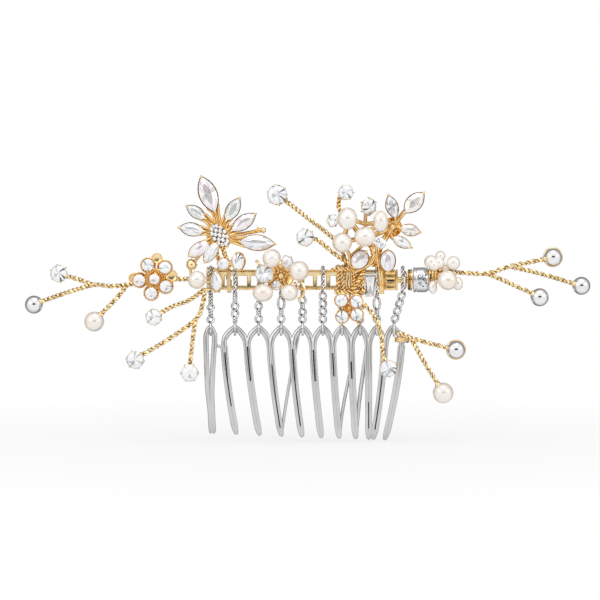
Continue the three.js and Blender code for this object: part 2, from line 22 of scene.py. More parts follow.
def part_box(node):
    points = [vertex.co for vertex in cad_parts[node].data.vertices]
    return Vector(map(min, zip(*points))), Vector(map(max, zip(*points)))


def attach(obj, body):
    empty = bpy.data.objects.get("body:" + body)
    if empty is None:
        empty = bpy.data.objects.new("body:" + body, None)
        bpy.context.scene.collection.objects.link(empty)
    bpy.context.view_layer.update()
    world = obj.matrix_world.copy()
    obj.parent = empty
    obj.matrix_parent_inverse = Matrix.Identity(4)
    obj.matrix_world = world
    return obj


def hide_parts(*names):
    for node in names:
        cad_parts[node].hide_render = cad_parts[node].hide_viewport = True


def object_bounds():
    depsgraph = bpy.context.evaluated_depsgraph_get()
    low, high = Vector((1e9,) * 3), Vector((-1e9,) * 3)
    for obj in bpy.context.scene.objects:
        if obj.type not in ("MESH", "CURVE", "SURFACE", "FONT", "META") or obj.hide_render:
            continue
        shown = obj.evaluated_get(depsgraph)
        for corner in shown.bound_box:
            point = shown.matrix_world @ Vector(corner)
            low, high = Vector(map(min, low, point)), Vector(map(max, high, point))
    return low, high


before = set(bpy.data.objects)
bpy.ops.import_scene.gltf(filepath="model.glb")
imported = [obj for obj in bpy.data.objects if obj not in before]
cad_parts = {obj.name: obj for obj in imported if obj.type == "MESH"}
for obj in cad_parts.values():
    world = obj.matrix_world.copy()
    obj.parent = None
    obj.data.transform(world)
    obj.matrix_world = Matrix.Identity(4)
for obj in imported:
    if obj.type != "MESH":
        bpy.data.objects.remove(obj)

CAD_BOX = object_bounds()
MM = 0.001
LOG = logging.getLogger("hair_comb")

Point = tuple[float, float, float]
Spot = tuple[float, float]
Part = tuple[bpy.types.Mesh, Matrix, bpy.types.Material]


# ---- finishes -----------------------------------------------------------------------------------


BALL_ROUNDING = 1.02


class Slot(Enum):
    """The record's material slots."""

    GOLD = "gold_wire"
    PALE_GOLD = "pale_gold"
    AMBER = "amber_gold"
    SILVER = "silver_wire"
    PEARL = "pearl"
    CRYSTAL = "crystal"
    BLUSH = "blush_crystal"
    MINT = "mint_crystal"
    PEACH = "peach_crystal"


class NodeBoard:
    """A material under construction: one principled shader and what feeds it."""

    def __init__(self, name: str) -> None:
        """Starts an empty material with a principled shader.

        Args:
            name: The material's name.
        """
        self.material = bpy.data.materials.new(name)
        self.material.use_nodes = True
        self.tree = self.material.node_tree
        self.shader = self.tree.nodes["Principled BSDF"]
        self.place = self.tree.nodes.new("ShaderNodeTexCoord").outputs["Object"]

    def noise(self, scale: float, detail: float = 4.0, stretch: Point = (1, 1, 1)) -> bpy.types.NodeSocket:
        """Adds a noise pattern on object coordinates.

        Args:
            scale: Cells per metre.
            detail: Octaves of finer noise.
            stretch: How much the pattern is squeezed along each axis.

        Returns:
            The pattern's value socket.
        """
        mapping = self.tree.nodes.new("ShaderNodeMapping")
        mapping.inputs["Scale"].default_value = stretch
        node = self.tree.nodes.new("ShaderNodeTexNoise")
        node.inputs["Scale"].default_value = scale
        node.inputs["Detail"].default_value = detail
        self.tree.links.new(self.place, mapping.inputs["Vector"])
        self.tree.links.new(mapping.outputs["Vector"], node.inputs["Vector"])
        return node.outputs["Fac"]

    def cells(self, scale: float) -> bpy.types.NodeSocket:
        """Adds a pattern of rounded cells, as a hammer leaves them.

        Args:
            scale: Cells per metre.

        Returns:
            The distance from each cell's middle.
        """
        node = self.tree.nodes.new("ShaderNodeTexVoronoi")
        node.inputs["Scale"].default_value = scale
        self.tree.links.new(self.place, node.inputs["Vector"])
        return node.outputs["Distance"]

    def attribute(self, name: str) -> bpy.types.NodeSocket:
        """Reads a piece's own attribute.

        Args:
            name: The attribute's name.

        Returns:
            Its value socket.
        """
        node = self.tree.nodes.new("ShaderNodeAttribute")
        node.attribute_name = name
        return node.outputs["Fac"]

    def ramp(self, source: bpy.types.NodeSocket, stops: list[tuple[float, Point]]) -> bpy.types.NodeSocket:
        """Turns a value into a colour.

        Args:
            source: The value.
            stops: Each stop's place from 0 to 1 and its colour.

        Returns:
            The colour socket.
        """
        node = self.tree.nodes.new("ShaderNodeValToRGB")
        elements = node.color_ramp.elements
        while len(elements) < len(stops):
            elements.new(0.5)
        for element, (place, colour) in zip(elements, stops):
            element.position = place
            element.color = (*colour, 1.0)
        self.tree.links.new(source, node.inputs["Fac"])
        return node.outputs["Color"]

    def blend(
        self, amount: bpy.types.NodeSocket | None, first: bpy.types.NodeSocket, second: bpy.types.NodeSocket,
        mode: str,
    ) -> bpy.types.NodeSocket:
        """Mixes two colours.

        Args:
            amount: How much of the second colour, or None for all of it.
            first: The first colour.
            second: The second colour.
            mode: The mix node's blend type.

        Returns:
            The mixed colour socket.
        """
        node = self.tree.nodes.new("ShaderNodeMix")
        node.data_type = "RGBA"
        node.blend_type = mode
        if amount is None:
            node.inputs[0].default_value = 1.0
        else:
            self.tree.links.new(amount, node.inputs[0])
        self.tree.links.new(first, node.inputs[6])
        self.tree.links.new(second, node.inputs[7])
        return node.outputs[2]

    def bump(self, height: bpy.types.NodeSocket, strength: float, depth: float) -> None:
        """Presses a pattern into the surface.

        Args:
            height: The pattern.
            strength: From 0 to 1.
            depth: The relief's depth in metres.
        """
        node = self.tree.nodes.new("ShaderNodeBump")
        node.inputs["Strength"].default_value = strength
        node.inputs["Distance"].default_value = depth
        self.tree.links.new(height, node.inputs["Height"])
        self.tree.links.new(node.outputs["Normal"], self.shader.inputs["Normal"])

    def feed(self, socket: str, source: bpy.types.NodeSocket) -> None:
        """Links a pattern to one of the shader's sockets."""
        self.tree.links.new(source, self.shader.inputs[socket])

    def hold(self, socket: str, value: float | tuple[float, ...]) -> None:
        """Sets one of the shader's sockets to a value that is the same all over."""
        self.shader.inputs[socket].default_value = value


@dataclass(frozen=True)
class PlatedMetal:
    """A plated and polished wire or sheet, with worn and darker patches, and painted shade in its crevices
    where asked.
    """

    name: str
    slot: Slot
    bright: Point
    worn: Point
    deep: Point
    roughness: tuple[float, float] = (0.12, 0.32)
    grain: float = 2600.0
    relief: float = 0.12
    painted_crevice_shade: bool = False
    shade: Point = (0.32, 0.2, 0.1)

    def material(self) -> bpy.types.Material:
        """Builds the material.

        Returns:
            The finished material.
        """
        board = NodeBoard(self.name)
        patches = board.noise(self.grain * 0.3, 5.0)
        colour = board.ramp(patches, [(0.26, self.deep), (0.42, self.worn), (0.58, self.bright)])
        # Painted shade: the colour darkens towards a rope's or tie's axis, where its strands shade each
        # other.
        if self.painted_crevice_shade:
            lit = board.ramp(board.attribute("recess"), [(0.5, self.shade), (0.68, (1, 1, 1))])
            colour = board.blend(None, colour, lit, "MULTIPLY")
        board.feed("Base Color", colour)
        gloss = board.ramp(
            board.noise(self.grain, 3.0), [(0.3, (self.roughness[0],) * 3), (0.75, (self.roughness[1],) * 3)]
        )
        board.feed("Roughness", gloss)
        board.hold("Metallic", 1.0)
        board.bump(board.noise(self.grain * 2.2, 3.0, (1, 1, 0.35)), self.relief, 0.00002)
        return board.material


@dataclass(frozen=True)
class Nacre:
    """The lustre of a cultured pearl, cream with rosy and greenish clouds."""

    name: str = "pearl_nacre"
    slot: Slot = Slot.PEARL
    cream: Point = (0.97, 0.92, 0.85)
    rose: Point = (0.97, 0.82, 0.71)
    silver: Point = (0.97, 0.95, 0.92)

    def material(self) -> bpy.types.Material:
        """Builds the material.

        Returns:
            The finished material.
        """
        board = NodeBoard(self.name)
        clouds = board.noise(260.0, 3.0)
        colour = board.ramp(clouds, [(0.32, self.rose), (0.5, self.cream), (0.68, self.silver)])
        board.feed("Base Color", colour)
        board.feed("Roughness", board.ramp(board.noise(900.0), [(0.3, (0.12,) * 3), (0.7, (0.18,) * 3)]))
        board.hold("Metallic", 0.3)
        board.hold("Coat Weight", 0.5)
        board.hold("Coat Roughness", 0.06)
        board.hold("Sheen Weight", 0.9)
        board.hold("Sheen Roughness", 0.35)
        board.hold("Sheen Tint", (1.0, 0.68, 0.45, 1.0))
        board.hold("IOR", 1.6)
        board.bump(board.noise(1500.0, 2.0), 0.08, 0.00003)
        return board.material


@dataclass(frozen=True)
class CutStone:
    """A cut glass stone over its foil: each facet is painted light or dark as painted reflections, with
    tinted clouds inside.
    """

    name: str
    slot: Slot
    light: Point
    middle: Point
    dark: Point
    tint: Point
    clouds: float = 0.5

    def material(self) -> bpy.types.Material:
        """Builds the material.

        Returns:
            The finished material.
        """
        board = NodeBoard(self.name)
        # Painted reflections: each facet's value picks a colour from near-black to white.
        facet = board.ramp(
            board.attribute("tone"), [(0.0, self.dark), (0.3, self.middle), (0.62, self.light),
                                      (1.0, (1, 1, 1))]
        )
        veil = board.ramp(board.noise(420.0, 2.0), [(0.42, (0, 0, 0)), (0.62, (self.clouds,) * 3)])
        tinted = board.ramp(board.noise(180.0, 1.0), [(0.35, self.tint), (0.65, self.light)])
        board.feed("Base Color", board.blend(veil, facet, tinted, "MULTIPLY"))
        board.hold("Roughness", 0.06)
        board.hold("Metallic", 0.34)
        board.hold("IOR", 1.62)
        board.hold("Coat Weight", 1.0)
        board.hold("Coat Roughness", 0.02)
        board.hold("Specular IOR Level", 0.8)
        board.bump(board.noise(1800.0, 1.0), 0.03, 0.00001)
        return board.material


@dataclass(frozen=True)
class HammeredMetal:
    """Metal worked with a round-faced hammer, with painted shade in the dents."""

    name: str
    slot: Slot
    bright: Point
    dark: Point
    dents: float

    def material(self) -> bpy.types.Material:
        """Builds the material.

        Returns:
            The finished material.
        """
        board = NodeBoard(self.name)
        pattern = board.cells(self.dents)
        # Painted shade: the colour darkens at the bottom of each dent.
        stops = [(0.12, self.dark), (0.3, self.bright)]
        board.feed("Base Color", board.ramp(pattern, stops))
        board.feed("Roughness", board.ramp(pattern, [(0.1, (0.45,) * 3), (0.4, (0.12,) * 3)]))
        board.hold("Metallic", 1.0)
        board.bump(pattern, 0.5, 0.00012)
        return board.material


@dataclass
class Finishes:
    """Every finish of the comb, each built once."""

    gold: bpy.types.Material = field(init=False)
    rope: bpy.types.Material = field(init=False)
    rich_gold: bpy.types.Material = field(init=False)
    rich_rope: bpy.types.Material = field(init=False)
    comb_silver: bpy.types.Material = field(init=False)
    tie_silver: bpy.types.Material = field(init=False)
    silver: bpy.types.Material = field(init=False)
    nacre: bpy.types.Material = field(init=False)
    crystal: bpy.types.Material = field(init=False)
    blush: bpy.types.Material = field(init=False)
    mint: bpy.types.Material = field(init=False)
    peach: bpy.types.Material = field(init=False)
    lilac: bpy.types.Material = field(init=False)
    hammered: bpy.types.Material = field(init=False)
    satin: bpy.types.Material = field(init=False)
    oxide_and_shade: bpy.types.Material = field(init=False)
    amber: bpy.types.Material = field(init=False)

    def __post_init__(self) -> None:
        """Builds the materials."""
        pale = ((1.0, 0.82, 0.50), (0.98, 0.72, 0.37), (0.80, 0.49, 0.17))
        rich = ((1.0, 0.75, 0.38), (0.97, 0.62, 0.23), (0.76, 0.38, 0.09))
        self.gold = PlatedMetal("sprig_gold", Slot.GOLD, *pale, (0.12, 0.28)).material()
        # The twisted golds carry painted shade between their strands.
        self.rope = PlatedMetal("twisted_gold", Slot.GOLD, *pale, (0.12, 0.28), painted_crevice_shade=True).material()
        self.rich_gold = PlatedMetal("frame_gold", Slot.GOLD, *rich, (0.14, 0.32)).material()
        self.rich_rope = PlatedMetal("frame_twist", Slot.GOLD, *rich, (0.14, 0.32), painted_crevice_shade=True).material()
        bright = ((0.93, 0.93, 0.94), (0.90, 0.90, 0.91), (0.84, 0.84, 0.86))
        self.silver = PlatedMetal("bright_silver", Slot.SILVER, *bright, (0.02, 0.05), 900.0, 0.0).material()
        brushed = ((0.69, 0.69, 0.70), (0.66, 0.66, 0.67), (0.60, 0.60, 0.62))
        self.comb_silver = PlatedMetal("comb_silver", Slot.SILVER, *brushed, (0.26, 0.34), 500.0,
                                       0.02).material()
        satin = ((0.93, 0.93, 0.95), (0.88, 0.88, 0.91), (0.78, 0.78, 0.82))
        self.satin = PlatedMetal("satin_silver", Slot.SILVER, *satin, (0.24, 0.34), 420.0, 0.04).material()
        # Near-black silver: real oxide in the barrel's engraving, and painted shade in the comb's tooth gaps
        # and the sleeve's slot.
        self.oxide_and_shade = PlatedMetal(
            "oxidised_silver_and_painted_shade", Slot.SILVER, (0.05, 0.05, 0.055), (0.03, 0.03, 0.035), (0.015, 0.015, 0.02),
            (0.3, 0.5)
        ).material()
        # Its last colour is painted shade on the strands near each tie's axis.
        self.tie_silver = PlatedMetal(
            "tie_silver", Slot.SILVER, (0.86, 0.86, 0.87), (0.66, 0.66, 0.67), (0.30, 0.30, 0.32),
            (0.08, 0.2), 4200.0, 0.05, True, (0.05, 0.05, 0.055),
        ).material()
        self.nacre = Nacre().material()
        self.crystal = CutStone(
            "clear_crystal", Slot.CRYSTAL, (0.93, 0.94, 0.96), (0.62, 0.64, 0.68), (0.06, 0.07, 0.09),
            (0.90, 0.93, 0.97), 0.25,
        ).material()
        self.blush = CutStone(
            "blush_crystal", Slot.BLUSH, (0.95, 0.91, 0.93), (0.78, 0.72, 0.76), (0.34, 0.30, 0.34),
            (0.95, 0.78, 0.82),
        ).material()
        self.mint = CutStone(
            "mint_crystal", Slot.MINT, (0.90, 0.94, 0.92), (0.66, 0.72, 0.70), (0.24, 0.28, 0.28),
            (0.80, 0.93, 0.86),
        ).material()
        self.peach = CutStone(
            "peach_crystal", Slot.PEACH, (0.96, 0.92, 0.88), (0.82, 0.72, 0.64), (0.38, 0.26, 0.18),
            (0.98, 0.82, 0.66),
        ).material()
        self.lilac = CutStone(
            "lilac_crystal", Slot.BLUSH, (0.92, 0.90, 0.95), (0.70, 0.68, 0.76), (0.26, 0.25, 0.32),
            (0.86, 0.80, 0.93),
        ).material()
        self.hammered = HammeredMetal(
            "pale_hammered_gold", Slot.PALE_GOLD, (0.92, 0.84, 0.66), (0.62, 0.50, 0.32), 1500.0
        ).material()
        self.amber = PlatedMetal(
            "dark_amber", Slot.AMBER, (0.62, 0.36, 0.12), (0.38, 0.20, 0.06), (0.12, 0.06, 0.03)
        ).material()


# ---- the bench ----------------------------------------------------------------------------------


class Bench:
    """Modelling help. Templates are shaped in millimetres with their front towards +Z."""

    @staticmethod
    def clear() -> None:
        """Deselects everything, in object mode."""
        if bpy.context.mode != "OBJECT":
            bpy.ops.object.mode_set(mode="OBJECT")
        bpy.ops.object.select_all(action="DESELECT")

    @staticmethod
    def open_faces(picked: list[int] | None = None) -> bpy.types.Object:
        """Goes into edit mode on the active object with the given faces selected.

        Args:
            picked: Face numbers, or None for all.

        Returns:
            The active object.
        """
        piece = bpy.context.active_object
        bpy.ops.object.mode_set(mode="OBJECT")
        chosen = None if picked is None else set(picked)
        for polygon in piece.data.polygons:
            polygon.select = chosen is None or polygon.index in chosen
        for edge in piece.data.edges:
            edge.select = False
        for vertex in piece.data.vertices:
            vertex.select = False
        for polygon in piece.data.polygons:
            if polygon.select:
                for number in polygon.vertices:
                    piece.data.vertices[number].select = True
        bpy.ops.object.mode_set(mode="EDIT")
        bpy.ops.mesh.select_mode(type="FACE")
        return piece

    @staticmethod
    def facing(up: bool) -> list[int]:
        """Finds the largest face that looks along Z.

        Args:
            up: True for the top face, False for the bottom one.

        Returns:
            A list with its number.
        """
        bpy.ops.object.mode_set(mode="OBJECT")
        sign = 1 if up else -1
        flat = [p for p in bpy.context.active_object.data.polygons if p.normal.z * sign > 0.9]
        return [max(flat, key=lambda p: p.center.z * sign).index]

    @staticmethod
    def step(up: float, scale: float | Spot = 1.0, turn: float = 0.0) -> None:
        """Extrudes the selected face, then scales and turns it about the piece's own axis.

        Args:
            up: How far along Z.
            scale: Scale across, one number or one for X and one for Y.
            turn: Turn about Z in radians.
        """
        across = scale if isinstance(scale, tuple) else (scale, scale)
        bpy.ops.mesh.extrude_region_move(TRANSFORM_OT_translate={"value": (0, 0, up)})
        bpy.ops.transform.resize(value=(*across, 1), center_override=(0, 0, 0))
        if turn:
            bpy.ops.transform.rotate(value=turn, orient_axis="Z", center_override=(0, 0, 0))

    @staticmethod
    def take(smooth_angle: float | None = None) -> bpy.types.Mesh:
        """Finishes the active object as a template and removes the object.

        Args:
            smooth_angle: Edges flatter than this many degrees are smooth; None leaves flat facets.

        Returns:
            The template's mesh.
        """
        piece = bpy.context.active_object
        if bpy.context.mode != "EDIT_MESH":
            bpy.ops.object.mode_set(mode="EDIT")
        bpy.ops.mesh.select_all(action="SELECT")
        bpy.ops.mesh.remove_doubles(threshold=0.0005)
        bpy.ops.mesh.normals_make_consistent(inside=False)
        bpy.ops.object.mode_set(mode="OBJECT")
        if smooth_angle is not None:
            Bench.clear()
            piece.select_set(True)
            bpy.context.view_layer.objects.active = piece
            bpy.ops.object.shade_smooth_by_angle(angle=math.radians(smooth_angle))
        mesh = piece.data
        mesh.transform(piece.matrix_world)
        mesh.use_fake_user = True
        bpy.data.objects.remove(piece)
        return mesh

    @staticmethod
    def apply(piece: bpy.types.Object) -> None:
        """Applies all of a piece's modifiers in order.

        Args:
            piece: The piece whose modifiers are applied.
        """
        Bench.clear()
        piece.select_set(True)
        bpy.context.view_layer.objects.active = piece
        for modifier in list(piece.modifiers):
            bpy.ops.object.modifier_apply(modifier=modifier.name)

    @staticmethod
    def set_down(name: str, parts: list[Part], body: str, nodes: tuple[str, ...],
                 slot: Slot) -> bpy.types.Object:
        """Copies template meshes to their places, joins them as one piece and hands it to the frame.

        Args:
            name: The piece's name.
            parts: Each part's template, its place in millimetres and its material.
            body: The body that the piece rides on.
            nodes: The CAD nodes that it stands for.
            slot: The record's slot of its finish; not used.

        Returns:
            The piece.
        """
        Bench.clear()
        to_metres = Matrix.Diagonal((MM, MM, MM, 1.0))
        copies = []
        for template, place, material in parts:
            mesh = template.copy()
            mesh.use_fake_user = False
            mesh.transform(to_metres @ place)
            mesh.materials.clear()
            mesh.materials.append(material)
            copy = bpy.data.objects.new(name, mesh)
            bpy.context.scene.collection.objects.link(copy)
            copy.select_set(True)
            copies.append(copy)
        bpy.context.view_layer.objects.active = copies[0]
        if len(copies) > 1:
            bpy.ops.object.join()
        piece = bpy.context.active_object
        piece.name = name
        piece.data.name = name
        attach(piece, body)
        if nodes:
            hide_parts(*nodes)
        return piece


def at(x: float, y: float, z: float, scale: float | Point = 1.0, turn: Point = (0, 0, 0)) -> Matrix:
    """A place for a template that keeps its own axes.

    Args:
        x: Place to the right, in millimetres.
        y: Place to the back.
        z: Height.
        scale: Scale, one number or three.
        turn: Turns about X, Y and Z in degrees.

    Returns:
        The place as a matrix.
    """
    sizes = scale if isinstance(scale, tuple) else (scale, scale, scale)
    turned = Euler([math.radians(a) for a in turn]).to_matrix().to_4x4()
    return Matrix.Translation((x, y, z)) @ turned @ Matrix.Diagonal((*sizes, 1.0))


def front(
    x: float, y: float, z: float, scale: float | Point = 1.0, roll: float = 0.0, lean: Spot = (0, 0)
) -> Matrix:
    """A place for a template whose front is to look forwards.

    Args:
        x: Place to the right, in millimetres.
        y: Place to the back.
        z: Height.
        scale: Scale in the template's own axes.
        roll: Turn about the template's front axis in degrees, counter-clockwise as seen.
        lean: How far the front is tipped up and to the right, in degrees.

    Returns:
        The place as a matrix.
    """
    sizes = scale if isinstance(scale, tuple) else (scale, scale, scale)
    leaned = Matrix.Rotation(math.radians(lean[1]), 4, "Z") @ Matrix.Rotation(math.radians(-lean[0]), 4, "X")
    forwards = Matrix.Rotation(math.pi / 2, 4, "X") @ Matrix.Rotation(math.radians(roll), 4, "Z")
    return Matrix.Translation((x, y, z)) @ leaned @ forwards @ Matrix.Diagonal((*sizes, 1.0))


def along(base: Spot, tip: Spot, y: float, width: float, depth: float, lean: Spot = (0, 0)) -> Matrix:
    """A place for a long template that lies between two spots of the front view.

    Args:
        base: The end near its flower, as (x, z) in millimetres.
        tip: The far end.
        y: The depth of its back.
        width: Its width.
        depth: Its height towards the front.
        lean: How far the front is tipped up and to the right, in degrees.

    Returns:
        The place as a matrix.
    """
    run = Vector((tip[0] - base[0], tip[1] - base[1]))
    roll = math.degrees(math.atan2(run.y, run.x))
    middle = ((base[0] + tip[0]) / 2, (base[1] + tip[1]) / 2)
    return front(middle[0], y, middle[1], (run.length / 2, width / 2, depth), roll, lean)


def box_middle(node: str) -> Vector:
    """The middle of a CAD node, in millimetres."""
    low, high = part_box(node)
    return (Vector(low) + Vector(high)) / (2 * MM)


def box_size(node: str) -> Vector:
    """The size of a CAD node, in millimetres."""
    low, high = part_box(node)
    return (Vector(high) - Vector(low)) / MM


# ---- stones, cups and beads ---------------------------------------------------------------------


class Cut(Enum):
    """How a stone is cut."""

    BRILLIANT = "brilliant"
    MARQUISE = "marquise"
    OVAL = "oval"
    DROP = "drop"


@dataclass
class StoneTemplates:
    """Cut stones of unit size, their girdles on z = 0.45 and their tables at z = 1."""

    sides: int = 20
    templates: dict[Cut, bpy.types.Mesh] = field(default_factory=dict)
    stones_cut: int = 0

    def outline(self, cut: Cut, turn: float) -> Spot:
        """The girdle of a stone, one unit to each side.

        Args:
            cut: The stone's cut.
            turn: The angle round the stone.

        Returns:
            A point of its girdle.
        """
        across, up = math.cos(turn), math.sin(turn)
        if cut is Cut.MARQUISE:
            half_width = (1 - across * across) ** 0.85
            return across, math.copysign(half_width, up) if abs(up) > 1e-6 else 0.0
        if cut is Cut.DROP:
            return across, up * (1 - 0.45 * max(0.0, across))
        return across, up

    def cut_stone(self, cut: Cut) -> bpy.types.Mesh:
        """Cuts a stone from a round blank: girdle, crown steps, table and a shallow pavilion.

        Args:
            cut: The stone's cut.

        Returns:
            The stone's mesh.
        """
        if cut in self.templates:
            return self.templates[cut]
        Bench.clear()
        bpy.ops.mesh.primitive_circle_add(vertices=self.sides, radius=1, fill_type="NGON", location=(0, 0, 0))
        blank = bpy.context.active_object
        for number, vertex in enumerate(blank.data.vertices):
            x, y = self.outline(cut, 2 * math.pi * (number + 0.5 * (cut is Cut.BRILLIANT)) / self.sides)
            vertex.co = (x, y, 0.4)
        round_cut = cut is Cut.BRILLIANT
        half_step = math.pi / self.sides if round_cut else 0.0
        Bench.open_faces()
        Bench.step(0.12, 1.0)
        Bench.step(0.22, 0.86 if round_cut else (0.84, 0.74), half_step)
        Bench.step(0.22, 0.6 if round_cut else (0.72, 0.58), half_step)
        bpy.ops.mesh.poke(offset=-0.12 if round_cut else 0.04)
        Bench.open_faces(Bench.facing(False))
        Bench.step(-0.4, 0.45)
        bpy.ops.mesh.select_all(action="SELECT")
        bpy.ops.mesh.quads_convert_to_tris(quad_method="SHORTEST_DIAGONAL")
        self.templates[cut] = Bench.take()
        return self.templates[cut]

    def with_painted_glints(self, cut: Cut, sparkle: float = 1.0) -> bpy.types.Mesh:
        """A copy of a stone with painted reflections: light and dark facets.

        Args:
            cut: The stone's cut.
            sparkle: How strong the contrast is, from 0 to 1.

        Returns:
            The copy's mesh, with a painted reflection value on each facet.
        """
        self.stones_cut += 1
        chance = random.Random(self.stones_cut * 37)
        mesh = self.cut_stone(cut).copy()
        tone = mesh.attributes.new("tone", "FLOAT", "FACE")
        drawn: dict[tuple[int, int], float] = {}
        for polygon in mesh.polygons:
            middle = polygon.center
            sector = int((math.atan2(middle.y, middle.x) / (2 * math.pi) + 0.5) * self.sides - 1e-4)
            ring = 0 if middle.z > 0.66 else 1
            # Painted reflections: each sector's facets are drawn bright, grey or near-black at random.
            if (sector, ring) not in drawn:
                draw = chance.random() * (1.0 if sector % 2 else 0.62)
                value = 0.97 if draw < 0.4 else 0.68 if draw < 0.62 else 0.3 if draw < 0.84 else 0.05
                drawn[sector, ring] = 0.92 + (value - 0.92) * sparkle + chance.uniform(-0.04, 0.04)
            shade = drawn[sector, ring] + chance.uniform(-0.08, 0.08) * sparkle
            tone.data[polygon.index].value = min(1.0, max(0.0, shade))
        return mesh


@dataclass
class MetalTemplates:
    """Small metal parts of unit size that are made once and used many times."""

    cup_sides: int = 24
    templates: dict[str, bpy.types.Mesh] = field(default_factory=dict)

    def cup(self) -> bpy.types.Mesh:
        """A stone cup of radius 1: a closed bowl with a thin turned-in rim.

        Returns:
            The cup's mesh.
        """
        if "cup" not in self.templates:
            Bench.clear()
            bpy.ops.mesh.primitive_circle_add(vertices=self.cup_sides, radius=0.72, fill_type="NGON")
            Bench.open_faces()
            Bench.step(0.18, 1.2)
            Bench.step(0.3, 1.13)
            Bench.step(0.04, 1.0)
            Bench.step(0.0, 0.93)
            Bench.step(-0.2, 0.96)
            self.templates["cup"] = Bench.take(35)
        return self.templates["cup"]

    def claw(self) -> bpy.types.Mesh:
        """A claw at (1, 0) that stands up the side of a cup and folds over the stone.

        Returns:
            The claw's mesh.
        """
        if "claw" not in self.templates:
            Bench.clear()
            bpy.ops.mesh.primitive_cube_add(size=1, location=(1.04, 0, 0.3))
            bpy.ops.transform.resize(value=(0.09, 0.16, 0.6), center_override=(1.04, 0, 0.3))
            Bench.open_faces(Bench.facing(True))
            bpy.ops.mesh.extrude_region_move(TRANSFORM_OT_translate={"value": (-0.03, 0, 0.14)})
            bpy.ops.mesh.extrude_region_move(TRANSFORM_OT_translate={"value": (-0.16, 0, 0.08)})
            bpy.ops.transform.resize(value=(0.7, 0.55, 0.6))
            bpy.ops.object.mode_set(mode="OBJECT")
            claw = bpy.context.active_object
            soft = claw.modifiers.new("soft", "SUBSURF")
            soft.levels = soft.render_levels = 1
            Bench.apply(claw)
            self.templates["claw"] = Bench.take(60)
        return self.templates["claw"]

    def grain(self) -> bpy.types.Mesh:
        """A small round metal grain of radius 1, slightly flattened.

        Returns:
            The grain's mesh.
        """
        if "grain" not in self.templates:
            Bench.clear()
            bpy.ops.mesh.primitive_uv_sphere_add(segments=8, ring_count=5, radius=1)
            bpy.ops.object.mode_set(mode="EDIT")
            bpy.ops.mesh.select_all(action="SELECT")
            bpy.ops.transform.resize(value=(1, 1, 0.85), center_override=(0, 0, 0))
            self.templates["grain"] = Bench.take(80)
        return self.templates["grain"]

    def petal(self) -> bpy.types.Mesh:
        """A round petal plate of radius 1 with a hollowed middle and a rolled edge.

        Returns:
            The plate's mesh.
        """
        if "petal" not in self.templates:
            Bench.clear()
            bpy.ops.mesh.primitive_circle_add(vertices=20, radius=0.9, fill_type="NGON")
            Bench.open_faces()
            Bench.step(0.08, 1.1)
            Bench.step(0.1, 1.0)
            Bench.step(0.06, 0.93)
            Bench.step(-0.08, 0.9)
            Bench.step(-0.04, 0.4)
            self.templates["petal"] = Bench.take(40)
        return self.templates["petal"]

    def rim(self, cut: Cut) -> bpy.types.Mesh:
        """A collar that holds a long stone round its girdle.

        Args:
            cut: The stone's cut.

        Returns:
            The collar's mesh.
        """
        name = f"rim_{cut.value}"
        if name not in self.templates:
            Bench.clear()
            bpy.ops.mesh.primitive_circle_add(vertices=28, radius=1, fill_type="NGON")
            blank = bpy.context.active_object
            for number, vertex in enumerate(blank.data.vertices):
                x, y = StoneTemplates().outline(cut, 2 * math.pi * number / 28)
                vertex.co = (x * 0.9, y * 0.86, 0)
            Bench.open_faces()
            Bench.step(0.2, (1.11, 1.15))
            Bench.step(0.3, (1.02, 1.04))
            Bench.step(0.0, (0.97, 0.95))
            Bench.step(-0.2, (0.97, 0.94))
            self.templates[name] = Bench.take(35)
        return self.templates[name]

    def pearl_ball(self) -> bpy.types.Mesh:
        """A pearl of radius 1 with a drilled dimple at its front and a slightly uneven skin.

        Returns:
            The pearl's mesh.
        """
        if "pearl" not in self.templates:
            self.templates["pearl"] = self._ball(dimple=0.05, unevenness=0.018)
        return self.templates["pearl"]

    def metal_ball(self) -> bpy.types.Mesh:
        """A turned metal ball of radius 1 with a flat drilled end.

        Returns:
            The ball's mesh.
        """
        if "ball" not in self.templates:
            self.templates["ball"] = self._ball(dimple=0.14, unevenness=0.0)
        return self.templates["ball"]

    @staticmethod
    def _ball(dimple: float, unevenness: float) -> bpy.types.Mesh:
        """Makes a round body with a dimple at its +X end.

        Args:
            dimple: How deep the drilled end is, as a share of the radius.
            unevenness: How far the skin strays, as a share of the radius.

        Returns:
            The ball's mesh.
        """
        Bench.clear()
        bpy.ops.mesh.primitive_uv_sphere_add(segments=40, ring_count=24, radius=1,
                                             rotation=(0, math.pi / 2, 0))
        bpy.ops.object.transform_apply(location=False, rotation=True, scale=False)
        ball = bpy.context.active_object
        for vertex in ball.data.vertices:
            radial = math.hypot(vertex.co.y, vertex.co.z)
            if vertex.co.x > 0 and radial < 0.28:
                vertex.co.x -= dimple * (1 - radial / 0.28) ** 0.5
            wave = (math.sin(3.1 * vertex.co.x + 1.3) * math.sin(2.3 * vertex.co.y + 0.4)
                    * math.cos(2.7 * vertex.co.z))
            vertex.co *= 1 + unevenness * wave
        return Bench.take(60)


